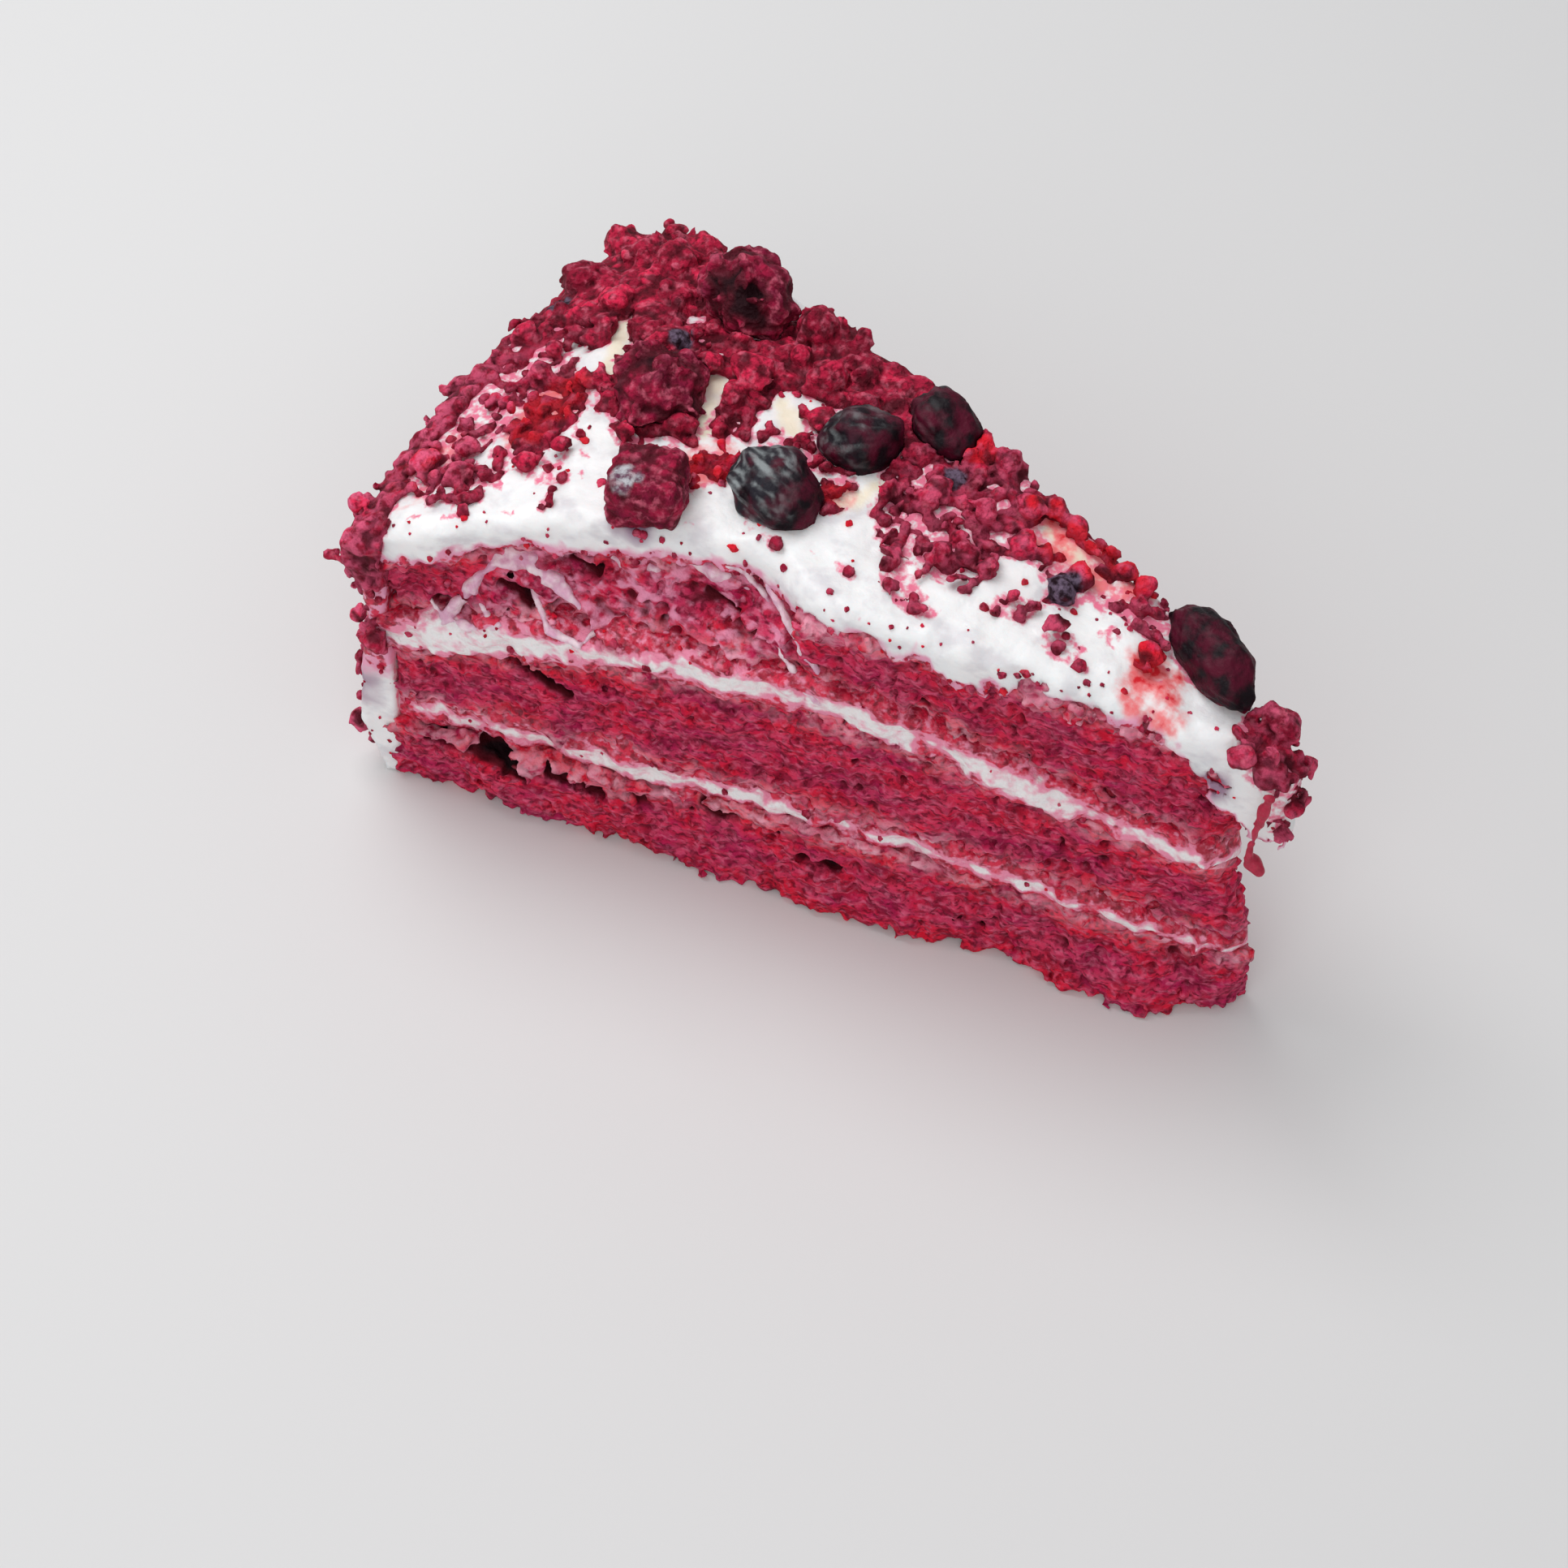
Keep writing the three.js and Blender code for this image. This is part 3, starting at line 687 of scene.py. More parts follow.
def frosting_distance(points):
    """The distance to the frosting's outer form, as if it were solid down to its foot."""
    r, _ = polar(points)
    z = points[:, 2]
    top = 0.95 * (z - frosting_height(points))
    front = -behind_face(points, FRONT) - FROSTING_OVERHANG + torn_depth(r) + 0.5 * noise.soft(points, 6)
    back = -behind_face(points, BACK) - FROSTING_OVERHANG + 0.5 * noise.soft(points, 6)
    tip_x = AXIS_X - FROSTING_TIP * math.cos(HALF_ANGLE)
    half_width = FROSTING_TIP * math.sin(HALF_ANGLE) + FROSTING_OVERHANG
    past = np.maximum(points[:, 0] - tip_x, 0) / FROSTING_TIP_REACH
    tip = (np.hypot(past, points[:, 1] / half_width) - 1) * half_width
    tip = np.where(points[:, 0] > tip_x, tip, -BAND)
    rim = r - SPONGE_RADIUS - along(RIM_THICKNESS, z)
    narrow = np.where(points[:, 0] > tip_x, -BAND, np.maximum(front, back))
    sides = both(np.maximum(narrow, tip), rim, 1)
    return np.maximum(both(top, sides, EDGE_ROUNDING), FOOT_CLEARANCE - z)


def below_frosting_edge(points):
    """The distance to what the frosting leaves free at the cut faces, below its ragged edge."""
    r, phi = polar(points)
    side_share = smoothstep(-0.6, 0.6, phi / HALF_ANGLE)
    hang = along(HANG[FRONT], r) * (1 - side_share) + along(HANG[BACK], r) * side_share
    ragged = noise.soft(points, 5) + 0.6 * noise.soft(points, 1.2)
    ragged += 0.9 * other_noise.soft(points, [1.9, 1.9, 4])
    height = points[:, 2] - along(BOUNDARIES["sponge_top"], r) + hang * (1 + 0.3 * ragged) + ragged
    return np.maximum(height, r - SPONGE_RADIUS + 0.8)


def frosting_edge(points):
    """How near points are to where the frosting is stained: its lower edge and the rim's cut."""
    r, _ = polar(points)
    z = points[:, 2]
    from_front = np.abs(behind_face(points, FRONT))
    lower = smoothstep(3, 0, np.abs(below_frosting_edge(points)) + 0.8 * noise.soft(points, 3)) * (z > 30)
    cut = smoothstep(3.5, 1.5, from_front) * smoothstep(SPONGE_RADIUS - 2, SPONGE_RADIUS, r) * (z < 46)
    return np.maximum(lower, cut * (0.15 + 0.8 * smoothstep(17, 24, z)))


def frosting_field(top_sponge):
    """The frosting: its outer form less the top sponge and what lies below its edge."""

    def plain(points):
        free = np.minimum(below_frosting_edge(points), top_sponge.sample(points) - 0.1)
        return np.maximum(frosting_distance(points), -free)

    def dented(points):
        return plain(points) - 0.4 * noise.soft(points, 4) - 0.25 * noise.soft(points, 1.7)

    return Field.of_function(*FROSTING_BOX, CREAM_STEP, plain, dented, reach=2)


# ---------------------------------------------------------------- crumbs on the frosting

# An ellipse of crumbs, seen from above: [x, y], half-lengths, tilt in degrees, how thickly the
# small crumbs (fine) and the clumps (coarse) lie, from 0 to 1, and the thickness of the closed bed
# under them, below 0 where there is none.
Zone = namedtuple("Zone", "at half tilt fine coarse bed")
CRUMB_ZONES = [
    Zone([-57, 18], [7.5, 20], 0, 1, 0.5, 0.4),
    Zone([-57, -16], [7.5, 17], 0, 0.9, 0.3, -0.4),
    Zone([-48, 20], [11, 13], 0, 1, 1, 1.6),
    Zone([-30, 7], [12.5, 12], -20, 1, 0.9, 0.5),
    Zone([-19, 17], [10, 7], -15, 1, 0.9, 1.2),
    Zone([-5, 16], [15, 6], -12, 1, 0.9, 1.2),
    Zone([11, 10], [9, 5.5], -12, 1, 0.7, 0.3),
    Zone([9, 1.5], [11, 7.5], -20, 1, 0.6, 0),
    Zone([-11, 4], [6, 6], 0, 0.8, 0.5, -0.2),
    Zone([11.5, -9], [4.4, 2.6], -25, 0.85, 0.5, -0.4),
    Zone([23.5, -3.6], [4, 2.8], 35, 0.85, 0.5, -0.5),
    Zone([30.5, -4.8], [2.4, 2.6], 0, 0.9, 0.6, -0.5),
    Zone([24, 7.5], [11, 6], -12, 0.95, 0.55, -0.2),
    Zone([36, 6], [7, 4], -14, 0.95, 0.4, -0.3),
    Zone([45, 3.5], [5.5, 2.6], -14, 0.85, 0.3, -0.6),
    Zone([37, 1], [6, 3], 0, 0.45, 0.1, -1),
    Zone([41.8, -0.2], [3.4, 1.6], -14, 0.9, 0.3, -0.7),
    Zone([57.5, 0.5], [5, 4.6], 0, 1, 0.7, 0.4),
    Zone([-43.5, -7], [4.5, 9], 18, 0.9, 0.5, 0.2),
    Zone([-50, -6], [5.5, 12], 0, 0.95, 0.3, -0.3),
    Zone([-42.6, -27.7], [2.8, 1.8], 30, 0.95, 0.6, -0.3),
    Zone([-37.3, -24.8], [2, 1.8], 0, 0.95, 0.6, -0.3),
    Zone([-38, -30], [1, 2.2], -30, 0.95, 0.3, -0.5),
    Zone([-47, -31], [2.6, 3], 0, 0.8, 0.3, -0.8),
    Zone([-33.4, -20.6], [1.3, 1.1], 0, 0.95, 0.4, -0.5),
    Zone([4, -10.8], [2, 1], -15, 0.95, 0.3, -0.6),
    Zone([-47, -20], [6.5, 7], -20, 0.7, 0.5, -1),
    Zone([-38, -15], [6, 4], -20, 0.5, 0.35, -1),
    Zone([-32, -6], [4, 2.4], -30, 0.9, 0.5, -0.4),
    Zone([-20, -7], [3.2, 5.6], -20, 0.95, 0.5, 0.1),
    Zone([-9, -10], [6, 2], -35, 0.75, 0.2, -1),
    Zone([-3.5, -1.5], [2.6, 4], 0, 0.9, 0.5, 0),
]
SCATTERED = 0.05  # how thickly fine crumbs lie everywhere else
NO_BED = -1.5  # the bed's thickness where there is none

# A clump that stands out singly: [x, y], its height above the frosting, and its size.
Clump = namedtuple("Clump", "at lift size")
CLUMPS = [
    Clump([-57, 28], -0.2, [6, 5.5, 4.5]),
    Clump([-50.5, 25], 0.7, [6.5, 6, 5]),
    Clump([-45.5, 24], 1.6, [6, 6, 5]),
    Clump([-55.5, 17], 1.5, [6, 7, 5]),
    Clump([-47.5, 14], 1.4, [5.5, 5, 4.5]),
    Clump([-21.2, 20.6], 1.8, [6, 5.5, 6]),
    Clump([-36.5, 9], 1.3, [5.5, 4.5, 4]),
    Clump([-23.5, 9.5], 1.6, [6, 5, 4.5]),
    Clump([-15, 13.5], 1.5, [5, 4.5, 4.5]),
    Clump([-11.5, 17.2], 1.2, [5, 4, 4]),
    Clump([11, 14.4], 0.9, [4, 3.6, 3.6]),
    Clump([19.2, 11.8], 0.7, [4, 3.2, 3]),
    Clump([31.5, 8.9], 0.6, [3, 2.6, 2.6]),
    Clump([34.6, 8.3], 0.6, [2.8, 2.8, 2.6]),
    Clump([57, 3], 0.9, [5, 4.4, 4]),
    Clump([58.6, -1.6], -1.2, [4.2, 5, 5]),
    Clump([56, -3.6], 0.2, [4, 3.4, 3.4]),
    Clump([-26.5, -2], 0.8, [4.6, 3.6, 3.4]),
    Clump([27, 2], 0.7, [4.2, 3.6, 3.2]),
]

# A dark bit of fruit among the crumbs, as [x, y], or a purple stain, as [x, y, z].
Disc = namedtuple("Disc", "at radius")
DARK_BITS = [
    Disc([27, 2], 2.3),
    Disc([7, 9], 1.5),
    Disc([-35, 10], 1.6),
    Disc([-56, 12], 1.6),
    Disc([38.5, -3.5], 1.2),
]
PURPLE_SPOTS = [
    Disc([53, -4.6, 45], 4),
    Disc([-57.5, -34, 17], 7),
    Disc([-22, -17.5, 55], 4),
]

# Where juice stains the crumbs and the cream bright red: [x, y], half-lengths and amount.
Spot = namedtuple("Spot", "at half amount")
MOIST_SPOTS = [
    Spot([-43.5, -7], [4.5, 8.5], 1),
    Spot([-20, -5.5], [5, 6], 0.9),
    Spot([-3, -1.5], [3, 3], 0.7),
    Spot([27, 8], [11, 4.5], 0.9),
    Spot([6.5, 14], [4, 3], 0.8),
    Spot([43.5, -4], [5.5, 4.6], 1),
    Spot([41.8, 0], [5, 2.6], 1),
    Spot([19, 10.5], [3, 3], 0.9),
    Spot([-52, -21], [5, 12], 0.5),
]

# A streak of yellowish cream between the crumbs: from [x, y] to [x, y].
Streak = namedtuple("Streak", "start end")
YELLOW_STREAKS = [
    Streak([-46, 14], [-41, 2]),
    Streak([-27, 7], [-23.5, -1]),
    Streak([-18, 8], [-14, 5]),
    Streak([21, 9], [30, 6]),
    Streak([-2.5, -2.5], [0, 3]),
]

CLUMP_REACH = 6  # how far from its middle a clump is worked out


def zone_cover(points):
    """How thickly fine and coarse crumbs lie by the zones, and the bed's thickness."""
    elsewhere = np.array([SCATTERED, 0, NO_BED])
    cover = np.tile(elsewhere, (len(points), 1))
    wobble = 0.22 * noise.soft(points, 6) + 0.12 * noise.soft(points, 2.5)
    for zone in CRUMB_ZONES:
        x, y = (points[:, axis] - zone.at[axis] for axis in (0, 1))
        u, v = turned(x, y, math.radians(zone.tilt), zone.half)
        share = smoothstep(1.12, 0.82, np.hypot(u, v) + wobble)
        inside = np.array([zone.fine, zone.coarse, zone.bed])
        cover = np.maximum(cover, elsewhere + (inside - elsewhere) * share[:, None])
    return cover.T


def moist_amount(points):
    """How moist and bright red the crumbs and the cream are, from 0 to 1."""
    spots = [spot.amount * smoothstep(1.2, 0.5, away(points[:, :2], *spot[:2])) for spot in MOIST_SPOTS]
    return np.maximum.reduce(spots) * (0.75 + 0.5 * noise.soft(points, 3)).clip(0, 1)


def purple_amount(points):
    wobble = 1.5 * noise.soft(points, 3)
    distances = [away(points, *spot) + wobble / spot.radius for spot in PURPLE_SPOTS]
    return smoothstep(1, 0.3, np.minimum.reduce(distances))


def yellow_amount(points):
    streaks = [to_segment(points[:, :2], *map(np.array, streak))[1] for streak in YELLOW_STREAKS]
    return smoothstep(1.7, 0.5, np.minimum.reduce(streaks) + 0.7 * noise.soft(points, 2))


def crumb_cover(points):
    """How thickly fine and coarse crumbs lie, and the bed's thickness: top, rim and tip."""
    r, _ = polar(points)
    z = points[:, 2]
    top = smoothstep(6, 3, frosting_top_plain(r) - z)
    from_front = behind_face(points, FRONT) - torn_depth(r)
    from_back = behind_face(points, BACK)
    top *= smoothstep(0.2, 2.2, from_front) * smoothstep(-2.6, -1, from_back)
    on_rim = smoothstep(SPONGE_RADIUS - 2, SPONGE_RADIUS + 0.5, r)
    on_rim *= np.maximum(smoothstep(-1, 0.4, np.minimum(from_front, from_back)), smoothstep(19, 25, z))
    bare_corner = smoothstep(24, 16, z) * smoothstep(9, 3, from_front)
    on_rim *= 1 - 0.7 * bare_corner
    on_tip = smoothstep(59, 60.5, points[:, 0]) * smoothstep(39, 43, z)
    top *= 1 - 0.8 * yellow_amount(points)
    fine, coarse, bed = zone_cover(points)
    fine = np.maximum.reduce([top * fine, on_rim, on_tip])
    coarse = np.maximum.reduce([top * coarse, 0.35 * on_rim, 0.4 * on_tip])
    bed = np.where(top > 0.5, bed, NO_BED)
    bulge = 1.1 * smoothstep(36, 41, z) * smoothstep(52, 47, z) * smoothstep(12, 0, from_front)
    bed = np.maximum(bed, NO_BED + (1.3 + 0.7 * smoothstep(0, 14, from_front) + bulge) * on_rim)
    return fine, coarse, bed


def crumb_balls(source, points, scale, thickly, off_layer):
    """The distance to balls, one in each cell that isn't left empty, and each ball's number."""
    nearest, number = source.cells(points + 0.3 * noise.soft(points, 1.6)[:, None], scale)
    there = (number * 7.31) % 1 < thickly
    radius = 0.28 + 0.26 * ((number * 3.77) % 1)
    return np.where(there, (nearest - radius) * scale + np.maximum(off_layer, 0), BAND), number


def crumbs_distance(points, outer):
    """The distance to the crumbs, and a tone from 0 to 1 for the crumb at each point."""
    fine, coarse, bed = crumb_cover(points)
    small, small_tone = crumb_balls(noise, points, 2.1, fine, np.abs(outer - 0.3) - 0.5)
    large, large_tone = crumb_balls(other_noise, points, 4.3, coarse, np.abs(outer - 0.7) - 0.9)
    tone = np.where(large < small, large_tone, small_tone)
    distance = np.minimum(small, large)
    ragged_bed = outer - bed - 0.5 * noise.soft(points, 2.4)
    distance = merged(distance, ragged_bed, 0.5)
    return distance, tone


def clump_distance(points, clump, turn):
    """The distance to one lumpy clump on the frosting."""
    at = np.array([*clump.at, 0.0])
    height = frosting_height(at[None])[0] + clump.lift
    x, y, z = (points - at - np.array([0, 0, height])).T
    half = np.array(clump.size) / 2
    u, v = turned(x, y, turn, half)
    return ellipsoid(u, v, z / half[2], half.min())


def crumb_grain(points):
    """How far the grains of a crumb stand out of it."""
    lumps, _ = other_noise.cells(points, 2.7)
    grains, _ = noise.cells(points, 1.3)
    return 0.9 * (0.5 - lumps) + 0.65 * (0.5 - grains) + 0.3 * noise.soft(points, 2.1)


def crumb_bodies(points, outer):
    """The distance to the crumbs and clumps without their grain, and the tone of each."""
    distance, tone = crumbs_distance(points, outer)
    random = np.random.default_rng(5)
    for clump in CLUMPS:
        turn, number = random.uniform(0, math.pi), random.random()
        near = np.hypot(points[:, 0] - clump.at[0], points[:, 1] - clump.at[1]) < CLUMP_REACH
        if not near.any():
            continue
        body = clump_distance(points[near], clump, turn)
        body -= 0.8 * (0.5 - other_noise.cells(points[near], 2.6)[0])
        tone[near] = np.where(body < distance[near], number, tone[near])
        distance[near] = merged(distance[near], body, 0.4)
    return distance, tone


def crumbs_field(box, toppings):
    """The crumbs inside a box as a field."""

    def shell(points):
        r, _ = polar(points)
        below_top = frosting_top_plain(r) - 7 - points[:, 2]
        from_tip = np.maximum(56 - points[:, 0], 36 - points[:, 2])
        bare = np.minimum.reduce([below_top, SPONGE_RADIUS - 3 - r, from_tip])
        return np.maximum(np.abs(frosting_distance(points) - 1.8) - 3.2, bare)

    def distance_at(points):
        outer = frosting_distance(points)
        distance = crumb_bodies(points, outer)[0] - crumb_grain(points)
        for topping in toppings:
            distance = np.maximum(distance, 0.15 - topping.sample(points))
        return np.maximum(distance, -0.9 - outer)

    return Field.of_function(*box, CRUMB_STEP, shell, distance_at, reach=3.4)


def dark_amount(points):
    """1 in the dark bits of fruit, and 0 elsewhere."""
    return smoothstep(1.15, 0.85, np.minimum.reduce([away(points[:, :2], *bit) for bit in DARK_BITS]))


def crumb_tone(points):
    return crumb_bodies(points, frosting_distance(points))[1]


def pink_amount(points):
    """How much the crumbs are dusted pink, from 0 to 1: at the rim's front, and towards the tip."""
    at_rim = smoothstep(-38, -54, points[:, 0]) * smoothstep(12, -10, points[:, 1])
    return np.maximum(at_rim, 0.6 * smoothstep(-6, 8, points[:, 0]))


def add_crumbs(material, toppings):
    """The crumbs over the top and the tip, and those on the rim below the seam between them."""
    top = crumbs_field(TOP_CRUMBS_BOX, toppings)
    rim = crumbs_field(RIM_CRUMBS_BOX, [])
    rim_side = top.lines(axis=0) < RIM_CRUMBS_BOX[1][0]
    below_seam = CRUMB_SEAM - CRUMB_OVERLAP - top.lines(axis=2)
    top.values[rim_side] = np.maximum(top.values[rim_side], below_seam)
    above_seam = rim.lines(axis=2) - CRUMB_SEAM - CRUMB_OVERLAP
    below_foot = CRUMB_FOOT - rim.lines(axis=2)
    rim.values = np.maximum(rim.values, np.maximum(above_seam, below_foot).astype(np.float32))
    for name, field in {"crumbs_top": top, "crumbs_rim": rim}.items():
        surface = field.surface(adaptivity=0.03, all_shells=True)
        points = surface[0]
        attributes = {
            "tone": in_blocks(crumb_tone, points),
            "relief": crumb_grain(points),
            "moist": moist_amount(points),
            "pink": pink_amount(points),
            "dark": dark_amount(points) if name == "crumbs_top" else 0,
            "height": frosting_distance(points),
        }
        add_piece(name, surface, material, attributes, "frosting")
    return top, rim


def add_frosting(material, top_sponge, crumb_fields):
    field = frosting_field(top_sponge)
    surface = field.surface(adaptivity=0.03)
    points = surface[0]
    crumb_gap = np.minimum.reduce([crumbs.sample(points) for crumbs in crumb_fields])
    attributes = {
        "stain": smoothstep(1.6, 0.1, crumb_gap),
        "moist": moist_amount(points),
        "purple": purple_amount(points),
        "yellow": yellow_amount(points),
        "edge": frosting_edge(points),
    }
    add_piece("frosting_fine", surface, material, attributes, "frosting")
    free = (frosting_distance(points) > -1) & (crumb_gap > 0.5)
    weights = free * (0.008 + smoothstep(2.6, 0.5, crumb_gap) + 0.3 * attributes["edge"])
    return field, points, weights


# ---------------------------------------------------------------- berries and chunks

TOPPINGS = [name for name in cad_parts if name.startswith(("berry", "chunk"))]

# How much of its bloom each berry still has, from 0 to 1, on its upper left side towards the light, where the
# grey is the berry's own bloom with a painted sheen.
BLOOM = {"berry_large": 1, "berry_round": 0.5, "berry_back": 0.1, "berry_long": 0.05}
SHEEN_SIDE = [-0.8, -0.35, 0.5]

FRUIT_AT = [-23.6, -17.2, 60.5]  # where a grey bit of fruit shows on the square chunk
FRUIT_RADIUS = 2.1
CORNER_PIT = [-28.6, 15.2, 59.6]  # where the corner chunk has its deep pit
CORNER_PIT_SHAPE = [2, 1.4, 0.8]  # how wide it is along each axis
CORNER_PIT_DEPTH = 1.5
BLOCK_TURN = 24  # degrees, of the square chunk's block about the vertical
BLOCK_SHARE = 0.94  # its size, as a share of the chunk's box
BLOCK_ROUNDING = 2.0


def node_axes(name):
    """The middle of a node and the directions of its axes, the longest first."""
    points, _ = node_mesh(name)
    middle = points.mean(axis=0)
    _, _, axes = np.linalg.svd(points - middle, full_matrices=False)
    return middle, axes


def berry_relief(name, points):
    """Creases along the berry, with finer ones between them, and broad dents."""
    middle, axes = node_axes(name)
    place = (points - middle) @ axes.T
    bent = place + 0.9 * noise.soft(points, 3.5)[:, None]
    folds = np.abs(noise.soft(bent, [7, 2.2, 2.2]))
    fine = np.abs(other_noise.soft(bent, [3.6, 0.9, 0.9]))
    return 0.6 * (folds - 0.3) + 0.3 * (fine - 0.3) + 0.5 * noise.soft(points, 4.5)


def chunk_relief(name, points):
    """The crumbs that a chunk is pressed from, lower on the square one, and the corner one's pit."""
    height = 0.6 if name == "chunk_square" else 1.5
    lumps, _ = other_noise.cells(points + 0.7 * noise.soft(points, 2)[:, None], 2.7)
    grains, _ = noise.cells(points, 1.3)
    from_pit = away(points, CORNER_PIT, CORNER_PIT_SHAPE) + 1.6 * other_noise.soft(points, 2.6)
    pit = CORNER_PIT_DEPTH * smoothstep(3, 0.6, from_pit)
    return height * (0.46 - lumps) + 0.4 * noise.soft(points, 5) + 0.7 * (0.5 - grains) - pit


def block_distance(name, points):
    """The distance to a rounded upright block that fills the square chunk's box."""
    corners, _ = node_mesh(name)
    turn = math.radians(BLOCK_TURN)
    cos, sin = math.cos(turn), math.sin(turn)
    axes = np.array([[cos, sin, 0], [-sin, cos, 0], [0, 0, 1]])
    places = corners @ axes.T
    low, high = places.min(axis=0), places.max(axis=0)
    past = np.abs(points @ axes.T - (low + high) / 2) - (high - low) / 2 * BLOCK_SHARE + BLOCK_ROUNDING
    outside = np.linalg.norm(np.maximum(past, 0), axis=1)
    return outside + np.minimum(past.max(axis=1), 0) - BLOCK_ROUNDING


def topping_field(name):
    smooth = Field.of_mesh(*node_mesh(name), BERRY_STEP)
    rough = smooth.copy()
    index = smooth.near(2.2)
    points = smooth.points(index)
    if name == "chunk_square":
        smooth.values[index] = block_distance(name, points)
    relief = (chunk_relief if name.startswith("chunk") else berry_relief)(name, points)
    rough.values[index] = smooth.values[index] - relief
    return rough, smooth


def berry_attributes(name, points):
    """Where a berry's grey coat and a painted sheen show, on its side towards the light, its fine fibres, and
    how near its crimson foot is.
    """
    middle, axes = node_axes(name)
    place = (points - middle) @ axes.T
    low, high = points[:, 2].min(), points[:, 2].max()
    side = (points - middle) @ np.array(SHEEN_SIDE) / (high - low)
    return {
        "bloom_and_sheen": BLOOM[name] * smoothstep(-0.25, 0.3, side + 0.2 * noise.soft(points, 3)),
        "fibres": other_noise.soft(place + 0.5 * noise.soft(points, 3)[:, None], [4, 0.8, 0.8]),
        "foot": smoothstep(0.6, 0.1, (points[:, 2] - low) / (high - low)),
    }


def chunk_attributes(points):
    """A tone for each crumb of a chunk, partly its own and partly painted shade that darkens it towards its
    edges, and where a grey bit of fruit shows on the square one.
    """
    lumps, number = other_noise.cells(points, 2.9)
    from_fruit = away(points, FRUIT_AT, 1) + 0.7 * noise.soft(points, 1.6)
    return {
        "tone": 0.3 * number + 0.7 * smoothstep(0.75, 0.3, lumps),
        "moist": 0,
        "pink": 0,
        "dark": smoothstep(FRUIT_RADIUS + 0.4, FRUIT_RADIUS - 0.4, from_fruit),
        "height": CLEAR_HEIGHT,
    }


def add_topping(name, rough, smooth, berry_material, chunk_material):
    surface = rough.surface(adaptivity=0.005)
    points = surface[0]
    is_berry = name.startswith("berry")
    attributes = berry_attributes(name, points) if is_berry else chunk_attributes(points)
    attributes["relief"] = smooth.sample(points)
    material, slot = (berry_material, "berry") if is_berry else (chunk_material, "crumb")
    add_piece(name + "_fine", surface, material, attributes, name)


# ---------------------------------------------------------------- specks and strands

# A strand of cream or crumb drawn over the front face: its knots as [r, z, radius], how far it
# stands out where it doesn't lie on the cake, and its redness.
Strand = namedtuple("Strand", "knots out red", defaults=[None, 0])
STRANDS = [
    Strand([
        [113.3, 34.5, 0.4], [109.6, 40.2, 0.7], [106.1, 44.2, 1.3], [102.3, 45, 1.5],
        [98.6, 43.6, 0.9], [95, 42, 0.3],
    ]),
    Strand([[106, 43.6, 0.8], [108.4, 42, 0.5], [110.3, 38, 0.4], [112.2, 34.6, 0.5], [115.1, 32.2, 0.3]]),
    Strand([[115.3, 37, 0.3], [112.7, 34.6, 0.4], [108.2, 35.6, 0.5], [104.8, 37.6, 0.3]]),
    Strand([[108.2, 38.4, 0.3], [105.6, 36.8, 0.5]]),
    Strand([[102.6, 44.4, 0.8], [102.1, 41.4, 0.4], [98.4, 38.8, 0.4], [94.1, 38.6, 0.5], [89.8, 39.4, 0.3]]),
    Strand([[99.4, 41.7, 0.3], [97.3, 39.3, 0.5]]),
    Strand([
        [77, 53, 0.6], [75, 51.8, 0.5], [71.8, 48.6, 0.4], [68.6, 44.4, 0.4],
        [64.8, 40.6, 0.5], [62.5, 39.2, 0.3],
    ]),
    Strand([[71.5, 51.8, 0.5], [66.1, 46.6, 0.35], [63.4, 43.9, 0.3]]),
    Strand([[84.5, 50.4, 0.4], [82, 50.4, 1], [78.5, 50, 1.1], [75, 48.4, 0.5]]),
    Strand([[96, 47.6, 0.4], [91, 46.8, 0.7], [86.5, 48.2, 0.5]]),
    Strand(
        [[6.7, 49, 0.6], [7.1, 43.9, 0.45], [7.6, 39.7, 0.4], [7.2, 36.6, 0.6], [6.6, 35.6, 1.2]],
        out=3.4,
        red=1,
    ),
]


def on_front_face(r, z, fields):
    """The outermost point of the cake at r and z, looking in along the front face's normal."""
    line = np.array([face_point(r, z, out) for out in np.arange(3, -9, -0.25)])
    inside = np.minimum.reduce([field.sample(line) for field in fields]) < 0
    return line[inside.argmax()] if inside.any() else face_point(r, z)


def strand_segments(fields):
    """Each strand's straight parts: their two ends, the radius at each, and the redness."""
    segments = []
    for strand in STRANDS:
        places = []
        for r, z, radius in strand.knots:
            if strand.out is None:
                inwards = face_point(0, 0, -0.4 * radius) - face_point(0, 0)
                places.append(on_front_face(r, z, fields) + inwards)
            else:
                places.append(face_point(r, z, strand.out))
        radii = [knot[2] for knot in strand.knots]
        for i in range(len(places) - 1):
            segments.append((places[i], places[i + 1], radii[i], radii[i + 1], strand.red))
    return segments


def strands_distance(points, segments):
    """The distance to the strands, and how red the nearest one is."""
    distance = np.full(len(points), BAND, np.float32)
    red = np.zeros(len(points), np.float32)
    swelling = 1 + 0.7 * noise.soft(points, 1.8)
    for start, end, start_radius, end_radius, redness in segments:
        share, aside = to_segment(points, start, end)
        body = aside - (start_radius + share * (end_radius - start_radius)) * swelling
        red = np.where(body < distance, redness, red)
        distance = merged(distance, body, 0.4)
    return distance, red


def add_strands(material, fields):
    segments = strand_segments(fields)
    ends = np.array([place for segment in segments for place in segment[:2]])

    def plain(points):
        return strands_distance(points, segments)[0]

    def rough(points):
        bend = np.stack([other_noise.soft(points + 30 * axis, 2) for axis in range(3)], axis=1)
        return strands_distance(points + 0.35 * bend, segments)[0] - 0.12 * noise.soft(points, 0.9)

    box = ends.min(axis=0) - 3, ends.max(axis=0) + 3
    field = Field.of_function(*box, STRAND_STEP, plain, rough, reach=1.2)
    surface = field.surface(adaptivity=0.02, all_shells=True)
    attributes = {"red": strands_distance(surface[0], segments)[1]}
    add_piece("strands", surface, material, attributes, "frosting")


SPECKS_ON_FROSTING = 330
SPECKS_ON_FILLING = 70  # on each


